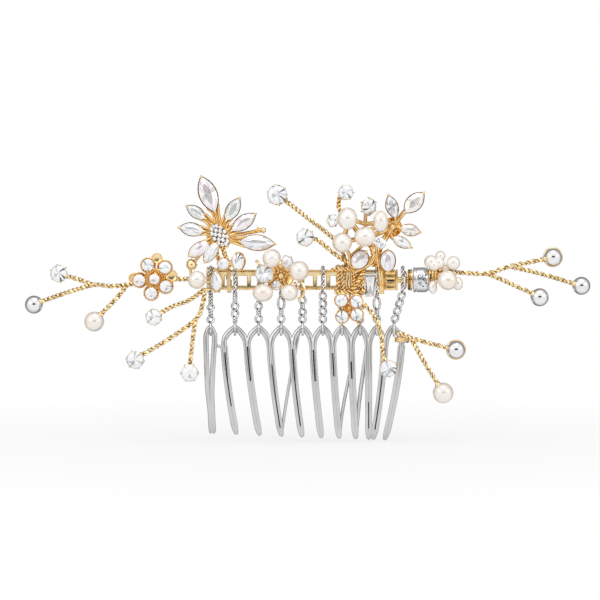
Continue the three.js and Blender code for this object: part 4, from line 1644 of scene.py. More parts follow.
@dataclass
class ThreadedPieces:
    """What is threaded on the bar's right end, and the keystone set on its front."""

    jeweller: Jeweller

    def turned(self, profile: list[Spot], x: float, z: float, sides: int = 48) -> bpy.types.Mesh:
        """Turns a ring about the bar.

        Args:
            profile: Corners as (radius, x), in order round the ring's section.
            x: Added to each corner's x.
            z: The bar's height.
            sides: Steps round the ring.

        Returns:
            The ring's mesh.
        """
        Bench.clear()
        bpy.ops.mesh.primitive_circle_add(vertices=len(profile), radius=1, fill_type="NOTHING")
        ring = bpy.context.active_object
        for vertex, (radius, across) in zip(ring.data.vertices, profile):
            vertex.co = (x + across, 0, z + radius)
        bpy.ops.object.mode_set(mode="EDIT")
        bpy.ops.mesh.select_all(action="SELECT")
        bpy.ops.mesh.spin(steps=sides, angle=2 * math.pi, center=(0, 0, z), axis=(1, 0, 0))
        bpy.ops.mesh.select_all(action="SELECT")
        bpy.ops.mesh.remove_doubles(threshold=0.001)
        return Bench.take(32)

    @staticmethod
    def slab(low: Point, high: Point, edge: float = 0.12) -> bpy.types.Mesh:
        """A block with rounded edges.

        Args:
            low: Its lowest corner.
            high: Its highest corner.
            edge: How far the edges are rounded.

        Returns:
            The block's mesh.
        """
        low_corner, high_corner = Vector(low), Vector(high)
        middle, size = (low_corner + high_corner) / 2, high_corner - low_corner
        Bench.clear()
        bpy.ops.mesh.primitive_cube_add(size=1, location=middle)
        bpy.ops.transform.resize(value=size, center_override=middle)
        bpy.ops.object.transform_apply(location=True, rotation=False, scale=True)
        block = bpy.context.active_object
        soft = block.modifiers.new("edge", "BEVEL")
        soft.width = edge
        soft.segments = 2
        Bench.apply(block)
        return Bench.take(35)

    def sleeve(self, low: Vector, high: Vector) -> list[Part]:
        """A square sleeve: ridges on the left, stepped bands on the right and a near-black slab in front,
        painted shade for a slot.

        Args:
            low: Its lowest corner.
            high: Its highest corner.

        Returns:
            The sleeve's parts.
        """
        finish = self.jeweller.finish
        tall = high.z - low.z
        core = self.slab((low.x + 0.1, low.y + 0.3, low.z + 0.3), (high.x - 0.1, high.y - 0.3, high.z - 0.3))
        parts: list[Part] = [(core, HERE, finish.amber)]
        for start, stop in ((0.0, 0.16), (0.2, 0.3), (0.9, 1.0)):
            left, right = low.x + start * (high.x - low.x), low.x + stop * (high.x - low.x)
            parts.append((self.slab((left, low.y, low.z), (right, high.y, high.z)), HERE, finish.rich_gold))
        left, right = low.x + 0.33 * (high.x - low.x), low.x + 0.88 * (high.x - low.x)
        for start, stop in ((0.0, 0.2), (0.23, 0.42), (0.53, 0.72), (0.76, 1.0)):
            band = ((left, low.y + 0.06, low.z + start * tall), (right, high.y - 0.06, low.z + stop * tall))
            parts.append((self.slab(*band), HERE, finish.rich_gold if start else finish.gold))
        web = ((left, low.y + 0.16, low.z + 0.4 * tall), (left + 0.6, high.y - 0.16, low.z + 0.55 * tall))
        parts.append((self.slab(*web), HERE, finish.rich_gold))
        # Painted shade: a near-black slab stands for the shadow inside the slot.
        slot = ((left + 0.5, low.y + 0.12, low.z + 0.44 * tall),
                (right - 0.3, low.y + 0.5, low.z + 0.51 * tall))
        parts.append((self.slab(*slot, 0.05), HERE, finish.oxide_and_shade))
        return parts

    def engraving(self, x: float, z: float, radius: float) -> list[Part]:
        """Small dark scrolls and dots cut into a bead's front.

        Args:
            x: The bead's middle.
            z: The bar's height.
            radius: The bead's radius.

        Returns:
            The cuts' parts.
        """
        oxide_and_shade = self.jeweller.finish.oxide_and_shade

        def spot(across: float, up: float) -> Vector:
            """A place on the bead's skin, unrolled about its front."""
            turn = up / radius
            return Vector((x + across, -radius * math.cos(turn), z + radius * math.sin(turn)))

        parts: list[Part] = []
        for across, up, reach, way in ((-0.4, 1.2, 0.95, 1), (0.75, 0.2, 0.6, -1), (-0.45, -0.75, 0.5, -1)):
            turns = [n * math.pi / 8 for n in range(21)]
            curl = [spot(across + reach * (0.15 + 0.85 * a / turns[-1]) * math.cos(way * a),
                         up + reach * (0.15 + 0.85 * a / turns[-1]) * math.sin(way * a)) for a in turns]
            parts.append((WireBench.drawn([curl], 0.1, 1), HERE, oxide_and_shade))
        for across, up in ((1.1, 1.4), (1.2, -0.7), (0.4, -1.5)):
            place = spot(across, up)
            parts.append((self.jeweller.metal.grain(), front(*place, 0.24), oxide_and_shade))
        return parts

    def build(self) -> None:
        """Builds the threaded pieces and the keystone and hands them to the frame."""
        finish = self.jeweller.finish
        z = box_middle("gallery_bar").z
        sleeve_box = [Vector(c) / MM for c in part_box("bar_sleeve")]
        Bench.set_down("grooved_sleeve", self.sleeve(*sleeve_box), "ornament", ("bar_sleeve",), Slot.GOLD)
        for node, name, material, slot, profile in (
            ("spacer_bead", "hammered_spacer", finish.hammered, Slot.PALE_GOLD,
             [(1.1, -0.45), (1.9, -0.45), (2.2, -0.3), (2.38, 0), (2.2, 0.3), (1.9, 0.45), (1.1, 0.45)]),
            ("end_ring", "amber_end_ring", finish.amber, Slot.AMBER,
             [(1.1, -0.55), (2.5, -0.55), (2.62, -0.4), (2.62, -0.1), (2.5, 0.0), (1.1, 0.0)]),
            ("barrel_bead", "scrolled_barrel", finish.satin, Slot.SILVER,
             [(1.1, -2.0), (3.0, -2.0), (3.16, -1.85), (3.16, -1.5), (3.0, -1.36), (3.0, -1.28), (3.12, -1.1),
              (3.16, 0.5), (3.08, 1.2), (2.8, 1.75), (2.4, 2.0), (1.1, 2.0)]),
        ):
            ring = self.turned(profile, box_middle(node).x, z)
            parts: list[Part] = [(ring, HERE, material)]
            if node == "end_ring":
                band = self.turned([(1.1, 0.02), (2.6, 0.02), (2.75, 0.15), (2.75, 0.42), (2.6, 0.55),
                                    (1.1, 0.55)],
                                   box_middle(node).x, z)
                parts.append((band, HERE, finish.rich_gold))
            if node == "barrel_bead":
                parts += self.engraving(box_middle(node).x, z, 3.12)
            Bench.set_down(name, parts, "ornament", (node,), slot)
        self.keystone()
        LOG.info("threaded pieces and keystone")

    def keystone(self) -> None:
        """The clear tapered stone on the bar, in a low frame with four claws."""
        low, high = (Vector(c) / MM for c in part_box("keystone_stone"))
        low.z += 0.18 * (high.z - low.z)
        middle, size = (low + high) / 2 + Vector((0.4, 0, 0)), high - low
        finish = self.jeweller.finish
        Bench.clear()
        bpy.ops.mesh.primitive_circle_add(vertices=8, radius=1, fill_type="NGON")
        stone = bpy.context.active_object
        corners = [(0.5, -0.5), (0.32, -0.5), (-0.32, -0.5), (-0.5, -0.44), (-0.5, 0.4), (-0.4, 0.5),
                   (0.4, 0.5), (0.5, 0.4)]
        for vertex, (across, up) in zip(stone.data.vertices, corners):
            taper = 1.0 if up > 0 else 0.62
            vertex.co = (across * size.x * taper, up * size.z, 0.3)
        Bench.open_faces()
        bpy.ops.mesh.normals_make_consistent(inside=False)
        Bench.step(0.3)
        Bench.step(0.55, (0.66, 0.78))
        bpy.ops.mesh.poke(offset=0.08)
        bpy.ops.mesh.select_all(action="SELECT")
        bpy.ops.mesh.quads_convert_to_tris()
        template = Bench.take()
        # Painted reflections: each facet is given a random light or dark value.
        tone = template.attributes.new("tone", "FLOAT", "FACE")
        chance = random.Random(5)
        for item in tone.data:
            item.value = chance.choice((0.95, 0.9, 0.8, 0.45, 0.05))
        place = front(middle.x, high.y, middle.z)
        Bench.set_down("keystone", [(template, place, finish.crystal)], "ornament", ("keystone_stone",),
                       Slot.CRYSTAL)
        edge = [Vector((middle.x + a * size.x * (1.06 if b > 0 else 0.7), high.y - 0.5,
                        middle.z + b * size.z * 1.04))
                for a, b in corners]
        parts: list[Part] = [(WireBench.drawn([edge], 0.16, 1, loop=True), HERE, finish.silver)]
        top = [(middle.x + side * 0.55 * size.x, low.y + 0.3, high.z + 0.1) for side in (-1, 1)]
        parts.append((WireBench.drawn([[Vector(p) for p in top]], 0.24, 2), HERE, finish.silver))
        for across, up in ((0.5, 0.4), (-0.5, 0.4), (0.32, -0.5), (-0.32, -0.5)):
            spot = (middle.x + across * size.x, low.y + 0.5, middle.z + up * size.z)
            parts.append((self.jeweller.metal.grain(), front(*spot, 0.3), finish.silver))
        Bench.set_down("keystone_frame", parts, "ornament", (), Slot.SILVER)


# ---- sprays and sprigs --------------------------------------------------------------------------


@dataclass
class SprigDepth:
    """Where the gold work stands: level at the front, and back round the head further out."""

    front_y: float = -2.25
    bend_start: float = 26.0
    softness: float = 220.0

    def y(self, x: float) -> float:
        """The depth of a sprig at x."""
        return self.front_y + max(0.0, abs(x) - self.bend_start) ** 2 / self.softness

    def route(self, points: list[Spot]) -> list[Point]:
        """Gives flat points their depth."""
        return [(x, self.y(x), z) for x, z in points]


DEPTH = SprigDepth()


@dataclass
class Sprig:
    """A twisted gold branch: its wires, its cup-set stones, and what sits on its ends."""

    jeweller: Jeweller
    name: str
    node: str
    body: str
    wires: list[list[Point]]
    stones: list[tuple[Point, float, Spot]] = field(default_factory=list)
    balls: tuple[str, ...] = ()
    pearls: tuple[str, ...] = ()
    extra: list[Part] = field(default_factory=list)
    ringed: tuple[str, ...] = ("lower_right_ball", "right_ball_top")
    thickness: float = 1.25

    def nearest_end(self, middle: Vector) -> Vector:
        """The end of a wire that is nearest to a place."""
        ends = [Vector(wire[n]) for wire in self.wires for n in (0, -1)]
        return min(ends, key=lambda end: (end - middle).length)

    def collar(self, middle: Vector, radius: float) -> list[Part]:
        """A small gold collar where a wire enters a ball or pearl.

        Args:
            middle: The ball's middle.
            radius: The ball's radius.

        Returns:
            The parts.
        """
        way = (self.nearest_end(middle) - middle).normalized()
        turn = way.to_track_quat("Z", "Y").to_matrix().to_4x4()
        gold = self.jeweller.finish.gold
        parts: list[Part] = []
        for out, size in ((1.0, 0.3), (0.86, 0.42)):
            spot = Matrix.Translation(middle + way * radius * out) @ turn @ Matrix.Diagonal((size * radius,
                size * radius, 0.2 * radius, 1))
            parts.append((self.jeweller.metal.grain(), spot, gold))
        return parts

    def build(self) -> None:
        """Builds the branch and what it carries, and hands them to the frame."""
        finish = self.jeweller.finish
        parts: list[Part] = [(WireBench.twisted(wire, self.thickness), HERE, finish.rope)
                             for wire in self.wires]
        parts += self.extra
        for number, (spot, radius, lean) in enumerate(self.stones, 1):
            place = front(*spot, radius, 11.0 * number, lean)
            parts += self.jeweller.cup_parts(place)
            stone = self.jeweller.round_stone(place, finish.crystal)
            Bench.set_down(f"{self.name}_stone_{number}", [stone], self.body, (self.node,), Slot.CRYSTAL)
        for node in (*self.balls, *self.pearls):
            middle, size = box_middle(node), box_size(node)
            way = (self.nearest_end(middle) - middle).normalized()
            turn = way.to_track_quat("X", "Z").to_matrix().to_4x4()
            radius = size.y / 2 * BALL_ROUNDING
            metal = node in self.balls
            template = self.jeweller.metal.metal_ball() if metal else self.jeweller.metal.pearl_ball()
            material, slot = (finish.silver, Slot.SILVER) if metal else (finish.nacre, Slot.PEARL)
            place = Matrix.Translation(middle) @ turn @ Matrix.Scale(radius, 4)
            Bench.set_down(f"{node}_round", [(template, place, material)], self.body, (node,), slot)
            parts += self.collar(middle, radius)
            if node in self.ringed:
                ring = [Vector((middle.x + 0.98 * radius * math.cos(math.radians(a)), middle.y + 0.3,
                                middle.z + 0.98 * radius * math.sin(math.radians(a))))
                                for a in range(0, 360, 10)]
                parts.append((WireBench.drawn([ring], 0.28, 2, loop=True), HERE, finish.gold))
        Bench.set_down(self.name, parts, self.body, (self.node,), Slot.GOLD)
        LOG.info("%s: %d wires, %d stones", self.name, len(self.wires), len(self.stones))


@dataclass
class Binding:
    """Turns of thin gold wire that hold a piece to the bar."""

    jeweller: Jeweller
    half: Spot = (1.15, 3.05)

    def parts(self, x: float, towards: Point, turns: int = 1) -> list[Part]:
        """Winds a wire on the bar and leads its end to a piece.

        Args:
            x: Where the turns lie.
            towards: Where the end goes.
            turns: How many turns.

        Returns:
            The parts.
        """
        bar_z = box_middle("gallery_bar").z
        gold = self.jeweller.finish.gold
        rise = towards[2] - bar_z
        if abs(rise) < self.half[1]:
            start = (x, -self.half[0], bar_z + rise)
        else:
            start = (x, 0.0, bar_z + math.copysign(self.half[1], rise))
        middle = tuple((a + b) / 2 for a, b in zip(start, towards))
        lead = WireBench.plain([start, (middle[0], middle[1] - 0.15, middle[2]), towards], 0.5)
        return [(WireBench.bar_turns(x - 0.25, turns, 0.48, self.half, bar_z), HERE, gold),
                (lead, HERE, gold)]


@dataclass
class LeftFlower:
    """A five-petalled flower: beaded petal plates with a round stone in each."""

    jeweller: Jeweller
    centre: Spot = (-37.6, 41.0)
    petals: tuple[Spot, ...] = ((2.6, 2.8), (-1.6, 3.4), (-3.7, -0.3), (-0.8, -3.5), (2.8, -1.8))

    def build(self) -> None:
        """Builds the flower and hands it to the frame."""
        jeweller, finish = self.jeweller, self.jeweller.finish
        x, z = self.centre
        y = DEPTH.y(x)
        metal = jeweller.metal
        parts: list[Part] = [(metal.petal(), front(x, y + 0.45, z, 2.7), finish.rich_gold)]
        spots = [(x + dx, z + dz, 1.6) for dx, dz in self.petals]
        for dx, dz, radius in ((0.6, 5.1, 1.3), (4.2, 0.7, 1.5), (-5.2, 0.2, 1.2)):
            parts.append((metal.petal(), front(x + dx, y + 0.35, z + dz, (radius, radius, 1.6)), finish.gold))
            parts += jeweller.beaded_ring(front(x + dx, y + 0.1, z + dz, radius), 14, 0.16)
        for number, (px, pz, radius) in enumerate([*spots, (x, z, 1.4)], 1):
            lean = (2.5 * (pz - z), 2.5 * (px - x))
            place = front(px, y - 0.3, pz, radius, 17.0 * number, lean)
            parts.append((metal.petal(), front(px, y + 0.4, pz, 2.0), finish.rich_gold))
            parts += jeweller.beaded_ring(front(px, y - 0.1, pz, 1.86), 18, 0.13)
            parts += jeweller.cup_parts(place, 4)
            stone = jeweller.round_stone(place, finish.crystal if number % 3 else finish.blush, 0.85)
            Bench.set_down(f"left_flower_stone_{number}", [stone], "ornament", ("left_flower",), Slot.CRYSTAL)
        parts += jeweller.beaded_ring(front(x, y - 0.2, z, 2.1), 18, 0.12)
        loop = [Vector((x, y + 1.45 + 1.25 * math.cos(2 * math.pi * n / 20),
                        z + 1.25 * math.sin(2 * math.pi * n / 20)))
                for n in range(20)]
        parts.append((WireBench.drawn([loop], 0.28, 1, loop=True), HERE, finish.gold))
        Bench.set_down("left_flower_frame", parts, "ornament", ("left_flower",), Slot.GOLD)
        LOG.info("left flower with %d petals", len(self.petals))


@dataclass
class LeafSpray:
    """Seven long stones that fan out from a pave oval on gold ribs."""

    jeweller: Jeweller
    hub: Spot = (-21.2, 52.0)
    twig_end: Spot = (-10.4, 53.2)
    leaves: tuple[tuple[str, Spot, Spot, float, str], ...] = (
        ("leaf_stone_top", (-22.3, 57.5), (-25.9, 66.6), 4.7, "blush"),
        ("leaf_stone_upper_left", (-24.6, 56.0), (-29.5, 59.3), 3.0, "mint"),
        ("leaf_stone_left", (-24.9, 53.0), (-31.4, 53.9), 3.5, "crystal"),
        ("leaf_stone_lower_left", (-23.9, 50.2), (-28.9, 46.9), 3.4, "blush"),
        ("leaf_stone_lower_left", (-21.9, 50.2), (-25.0, 45.3), 3.0, "crystal"),
        ("leaf_stone_upper_right", (-19.8, 55.4), (-16.3, 61.2), 3.4, "mint"),
        ("leaf_stone_right", (-18.5, 53.0), (-12.3, 57.3), 3.6, "blush"),
        ("leaf_stone_lower_right", (-16.6, 50.5), (-7.5, 49.8), 4.1, "crystal"),
    )

    def build(self) -> None:
        """Builds the spray and hands it to the frame."""
        jeweller, finish = self.jeweller, self.jeweller.finish
        y = DEPTH.front_y
        hx, hz = self.hub
        parts: list[Part] = [(jeweller.metal.petal(), front(hx, y + 0.5, hz, (3.6, 3.4, 2.0), 40),
                              finish.rich_gold)]
        for node, base, tip, width, colour in self.leaves:
            cut = Cut.OVAL if node.endswith("lower_left") else Cut.MARQUISE
            lean = (1.4 * (tip[1] - hz), 1.0 * (tip[0] - hx))
            place = along(base, tip, y - 0.55, width, 1.75, (lean[0] * 0.4, lean[1] * 0.4))
            parts += jeweller.rim_parts(cut, place)
            near = (base[0] + 0.75 * (tip[0] - base[0]), base[1] + 0.75 * (tip[1] - base[1]))
            rib = [(hx, y + 0.1, hz), (base[0], y + 0.25, base[1]), (near[0], y + 0.1, near[1])]
            parts.append((WireBench.plain(rib, 1.3), HERE, finish.rich_gold))
            along_way = Vector((tip[0] - base[0], tip[1] - base[1])).normalized()
            side = Vector((along_way.y, -along_way.x))
            for way in (1, -1):
                foot = Vector(base) + way * side * 0.75 - along_way * 0.4
                hold = (Vector(base) + way * side * 0.29 * width
                        + along_way * 0.17 * (Vector(tip) - Vector(base)).length)
                prong = [(hx + way * side.x * 0.8, y, hz + way * side.y * 0.8), (foot.x, y - 0.5, foot.y),
                         (hold.x, y - 1.1, hold.y)]
                parts.append((WireBench.plain(prong, 0.62), HERE, finish.rich_gold))
                parts.append((jeweller.metal.grain(), front(hold.x, y - 1.2, hold.y, 0.42), finish.rich_gold))
            stone = jeweller.long_stone(cut, place, getattr(finish, colour))
            Bench.set_down(f"{node}_{colour}", [stone], "ornament", (node,), self.slot_of(colour))
        self.pave(parts)
        ex, ez = self.twig_end
        twig = [(hx, y - 0.1, hz), (-16.4, y - 0.2, 52.2), (ex - 0.5, y - 0.2, ez)]
        parts.append((WireBench.plain(twig, 0.95), HERE, finish.rich_gold))
        parts.append((WireBench.plain([(-25.8, y + 0.3, 47.6), (-27.2, y, 45.7), (-28.3, y - 0.2, 45.1)],
                                      0.8), HERE, finish.gold))
        parts.append((jeweller.metal.metal_ball(), at(-28.4, y - 0.3, 45.0, 1.05, (0, 30, 90)), finish.gold))
        parts += [(jeweller.metal.grain(), front(ex + dx, y - 0.3, ez + dz, size), finish.gold)
                  for dx, dz, size in ((0, 0, 0.75), (-1.3, 0.5, 0.4), (-3.2, -0.45, 0.34))]
        stem = [(hx, y, hz), (-20.3, y, 48), (-18.8, y, 43.9)]
        parts.append((WireBench.twisted(stem, 1.3, 2.1), HERE, finish.rich_rope))
        parts.append((WireBench.twisted([(hx - 1, y, hz), (-22, y, 47.5), (-21, y, 43.8)], 1.2, 2.1), HERE,
                      finish.rich_rope))
        parts.append((WireBench.plain([(-20.3, y, 44.8), (-18.5, y, 45), (-16.5, y, 45.3)], 1.3), HERE,
                      finish.rich_gold))
        for number, (px, pz, radius, tall) in enumerate(((-20.3, 44.8, 1.5, 1.5), (-16.6, 45.4, 1.65, 2.2)),
                                                        1):
            place = front(px, y - 0.2, pz, (radius, tall, radius), 4.0, (6, -6))
            parts += jeweller.cup_parts(place, 6)
            parts.append((jeweller.metal.petal(), front(px, y + 0.2, pz, (radius * 1.16, tall * 1.12, 1.2)),
                          finish.rich_gold))
            stone = jeweller.round_stone(place, finish.crystal, 1.2 if number == 2 else 0.6)
            Bench.set_down(f"bar_end_stone_{number}", [stone], "ornament", ("leaf_frame",), Slot.CRYSTAL)
        parts += Binding(jeweller).parts(-19.3, (-19, y, 44.4), 2)
        Bench.set_down("leaf_spray_frame", parts, "ornament", ("leaf_frame",), Slot.GOLD)
        LOG.info("leaf spray with %d stones", len(self.leaves))

    @staticmethod
    def slot_of(colour: str) -> Slot:
        """The record's slot for a stone's colour."""
        return {"blush": Slot.BLUSH, "mint": Slot.MINT, "peach": Slot.PEACH,
                "lilac": Slot.BLUSH}.get(colour, Slot.CRYSTAL)

    def pave(self, parts: list[Part]) -> None:
        """The oval set all over with tiny stones.

        Args:
            parts: The frame's parts, which its plate joins.
        """
        jeweller, finish = self.jeweller, self.jeweller.finish
        place = along((-23.3, 54.8), (-19.3, 49.2), DEPTH.front_y - 0.3, 3.9, 1.4)
        parts += jeweller.rim_parts(Cut.OVAL, place)
        # Painted shade: a dark amber plate under the tiny stones makes the gaps between them dark.
        parts.append((jeweller.metal.petal(), place @ Matrix.Translation((0, 0, 0.3)), finish.amber))
        stones: list[Part] = []
        rows = ((0.0, 1), (0.42, 6), (0.78, 12))
        length, width = place.col[0].length, place.col[1].length
        for reach, count in rows:
            for number in range(count):
                turn = 2 * math.pi * number / count
                spot = Matrix.Translation((reach * math.cos(turn), reach * math.sin(turn),
                                           0.62 + 0.3 * (1 - reach)))
                size = Matrix.Diagonal((0.56 / length, 0.45 / width, 0.4, 1))
                stones.append((jeweller.stones.with_painted_glints(Cut.BRILLIANT), place @ spot @ size, finish.crystal))
        Bench.set_down("pave_oval", stones, "ornament", ("leaf_frame",), Slot.CRYSTAL)


@dataclass
class PearlSetting:
    """Pearls on beaded gold cups."""

    jeweller: Jeweller

    def parts(self, node: str, back: float) -> list[Part]:
        """Sets the pearl of a CAD node and gives its cup.

        Args:
            node: The pearl's node.
            back: The depth of the cup's back.

        Returns:
            The cup's parts, for its flower's frame.
        """
        jeweller, finish = self.jeweller, self.jeweller.finish
        middle, size = box_middle(node), box_size(node)
        radius = size.y / 2 * BALL_ROUNDING
        seed = sum(map(ord, node))
        turn = (15.0 * (seed % 7), 20.0 * (seed % 5), 90.0 + 25.0 * (seed % 3 - 1))
        stretch = Matrix.Diagonal((size.x / size.y, 1, size.z / size.y, 1))
        place = Matrix.Translation(middle) @ stretch @ at(0, 0, 0, radius, turn)
        pearl = [(jeweller.metal.pearl_ball(), place, finish.nacre)]
        Bench.set_down(f"{node}_nacre", pearl, "ornament", (node,), Slot.PEARL)
        sizes = (0.97 * size.x / 2, 0.97 * size.z / 2)
        parts: list[Part] = [
            (jeweller.metal.petal(), front(middle.x, back, middle.z - 0.25, (sizes[0], sizes[1], 2.2)),
             finish.rich_gold)
        ]
        stalk = [(middle.x, back, middle.z), (middle.x, middle.y + 0.2 * radius, middle.z)]
        parts.append((WireBench.drawn([[Vector(p) for p in stalk]], 0.35, 1), HERE, finish.gold))
        return parts


@dataclass
class CentreFlower:
    """Four pearls and three stones round a gold bead."""

    jeweller: Jeweller
    centre: Spot = (-6.0, 41.8)
    pearls: tuple[str, ...] = (
        "centre_pearl_top", "centre_pearl_right", "centre_pearl_lower_left", "centre_pearl_lower_right",
    )
    stones: tuple[tuple[Spot, float, Spot, float], ...] = (
        ((-9.8, 42.2), 2.4, (8, -16), 1.0), ((-7.1, 39.6), 1.3, (-6, -6), 1.0),
        ((-4.8, 45.0), 1.75, (16, 30), 0.6),
    )

    def build(self) -> None:
        """Builds the flower and hands it to the frame."""
        jeweller, finish = self.jeweller, self.jeweller.finish
        y = DEPTH.front_y
        x, z = self.centre
        parts: list[Part] = [
            (jeweller.metal.petal(), front(x, y + 0.45, z, (3.4, 3.4, 3)), finish.rich_gold),
            (jeweller.metal.grain(), front(x, y - 1.3, z, 0.85), finish.gold),
        ]
        parts += jeweller.beaded_ring(front(x, y - 0.9, z, 1.15), 8, 0.32)
        setting = PearlSetting(jeweller)
        for node in self.pearls:
            parts += setting.parts(node, y + 0.45)
            middle = box_middle(node)
            parts.append((WireBench.plain([(x, y, z), (middle.x, y, middle.z)], 1.2), HERE, finish.rich_gold))
        for number, ((px, pz), radius, lean, sparkle) in enumerate(self.stones, 1):
            parts.append((WireBench.plain([(x, y, z), (px, y, pz)], 0.7), HERE, finish.rich_gold))
            place = front(px, y - (0.5 if number < 3 else 0.1), pz, radius, 25.0 * number, lean)
            parts += jeweller.cup_parts(place, 6)
            stone = jeweller.round_stone(place, finish.crystal, sparkle)
            Bench.set_down(f"centre_stone_{number}", [stone], "ornament", ("centre_flower_frame",),
                           Slot.CRYSTAL)
        for base, tip in (((-9.8, 43.6), (-12, 45.4)), ((-2.6, 40.2), (-0.9, 38.4))):
            leaf = [(base[0], y, base[1]), ((base[0] + tip[0]) / 2 - 0.3, y - 0.5, (base[1] + tip[1]) / 2),
                    (tip[0], y, tip[1])]
            parts.append((WireBench.plain(leaf, 0.6), HERE, finish.gold))
            parts.append((jeweller.metal.grain(), front(tip[0], y, tip[1], 0.45), finish.gold))
        cup = [Vector((-1.9 + 1.7 * math.cos(a), y - 1.2, 38.3 + 2.2 * math.sin(a))) for a in
               (math.radians(d) for d in range(-90, 91, 15))]
        parts.append((WireBench.drawn([cup], 0.4, 1), HERE, finish.gold))
        binding = Binding(jeweller)
        parts += binding.parts(-9.0, (-9, y, 41.8), 2) + binding.parts(-4.4, (-4.4, y, 42.4), 2)
        Bench.set_down("centre_flower", parts, "ornament", ("centre_flower_frame",), Slot.GOLD)
        LOG.info("centre flower with %d pearls", len(self.pearls))


@dataclass
class RightSpray:
    """Pearls and long stones on a gold frame that rises from the bar."""

    jeweller: Jeweller
    hub: Spot = (21.8, 54.0)
    pearls: tuple[str, ...] = ("right_pearl_top", "right_pearl_left", "right_pearl_middle",
                               "right_pearl_oval")
    leaves: tuple[tuple[str, Spot, Spot, float, str], ...] = (
        ("right_stone_top", (22.6, 56.0), (20.8, 61.9), 3.2, "crystal"),
        ("right_stone_upper", (24.6, 57.5), (29.6, 62.5), 4.1, "peach"),
        ("right_stone_side", (23.4, 53.9), (28.7, 52.7), 3.1, "peach"),
        ("right_stone_lower", (21.6, 51.6), (26.5, 49.0), 2.8, "crystal"),
    )
    rounds: tuple[tuple[Spot, float, Spot], ...] = (
        ((10.3, 62.6), 1.95, (4, -6)), ((15.3, 59.2), 2.2, (-6, 34)), ((7.2, 55.6), 1.6, (0, -24)),
        ((18.8, 50.1), 1.4, (0, 4)),
    )

    def build(self) -> None:
        """Builds the spray and hands it to the frame."""
        jeweller, finish = self.jeweller, self.jeweller.finish
        y = DEPTH.front_y
        hx, hz = self.hub
        parts: list[Part] = [
            (jeweller.metal.petal(), front(hx, y + 0.5, hz, (2.5, 2.5, 3)), finish.rich_gold),
            (jeweller.metal.grain(), front(hx, y - 0.9, hz, 0.8), finish.gold),
        ]
        parts += jeweller.beaded_ring(front(hx, y - 0.6, hz, 1.25), 8, 0.3)
        for node, base, tip, width, colour in self.leaves:
            lean = (0.8 * (tip[1] - hz), 0.8 * (tip[0] - hx))
            place = along(base, tip, y - 0.55, width, 1.6, lean)
            parts += jeweller.rim_parts(Cut.MARQUISE, place)
            near = (base[0] + 0.7 * (tip[0] - base[0]), base[1] + 0.7 * (tip[1] - base[1]))
            parts.append((WireBench.plain([(hx, y, hz), (base[0], y + 0.2, base[1]),
                                           (near[0], y + 0.1, near[1])], 1.2),
                          HERE, finish.rich_gold))
            stone = jeweller.long_stone(Cut.MARQUISE, place, getattr(finish, colour), 0.85)
            Bench.set_down(f"{node}_cut", [stone], "ornament", (node,), LeafSpray.slot_of(colour))
        self.ovals(parts)
        setting = PearlSetting(jeweller)
        for node in self.pearls:
            parts += setting.parts(node, y + 0.45)
        for route, thickness in (
            ([(10.6, y, 56.3), (15, y, 51.7), (21.8, y, 54)], 1.4), ([(15, y, 51.7), (19, y, 55.6)], 1.2),
            ([(15, y, 51.7), (11.7, y, 50.7), (9.6, y, 50.3)], 1.2), ([(14.9, y, 52), (15.2, y, 59)], 0.9),
            ([(10.6, y, 56.3), (10.2, y, 53), (9.3, y, 50.2)], 1.2),
            ([(10.6, y, 56.3), (15.2, y, 54.8), (18.9, y, 55.5)], 1.1),
            ([(17.9, y, 49.5), (18.3, y - 0.2, 46), (18.9, y - 0.5, 42), (19.2, y - 0.5, 37.3)], 1.25),
            ([(17.7, y, 47.3), (15.9, y - 0.1, 44.8), (12.2, y - 0.3, 42.8)], 1.3),
            ([(9.6, y, 49.6), (11.0, y, 47.2), (11.4, y, 44.6), (12.4, y - 0.2, 42.8)], 0.9),
            ([(15.6, y, 50.2), (14.2, y, 49.2), (11.6, y, 46.9)], 0.8),
            ([(17.0, y, 49.9), (16.8, y, 48), (17.6, y, 46.4)], 0.9),
            ([(21.8, y, 54), (20.2, y, 51.5), (18.6, y, 49.6)], 1.6),
        ):
            parts.append((WireBench.plain(route, thickness), HERE, finish.rich_gold))
        for route in (
            [(21.8, y, 54), (19.2, y, 49.6), (18, y, 44)],
            [(18.8, y, 49), (17, y, 46.4), (14.4, y, 44.4), (13, y + 0.6, 44.2)],
            [(10.6, y, 56.3), (8.5, y, 58.6), (8.7, y, 62)],
            [(15, y + 0.1, 51.7), (16.8, y + 0.1, 48), (17.2, y, 44.2)],
        ):
            parts.append((WireBench.twisted(route, 1.2, 2.1), HERE, finish.rich_rope))
        for number, ((px, pz), radius, lean) in enumerate(self.rounds, 1):
            forward = 2.6 if number == 4 else 0.4
            place = front(px, y - forward, pz, radius, 31.0 * number, lean)
            parts += jeweller.cup_parts(place, 6)
            stone = jeweller.round_stone(place, finish.crystal)
            Bench.set_down(f"right_round_stone_{number}", [stone], "ornament", ("right_frame",), Slot.CRYSTAL)
        parts.append((WireBench.plain([(7.2, y, 55.6), (10.6, y, 56.3)], 0.7), HERE, finish.rich_gold))
        parts.append((WireBench.plain([(18.8, y, 49), (18.8, y - 2.5, 50.1)], 0.6), HERE, finish.rich_gold))
        parts += Binding(jeweller).parts(12.5, (13, y + 0.6, 44.2), 2)
        Bench.set_down("right_spray_frame", parts, "ornament", ("right_frame",), Slot.GOLD)
        LOG.info("right spray with %d pearls and %d stones", len(self.pearls), len(self.leaves))

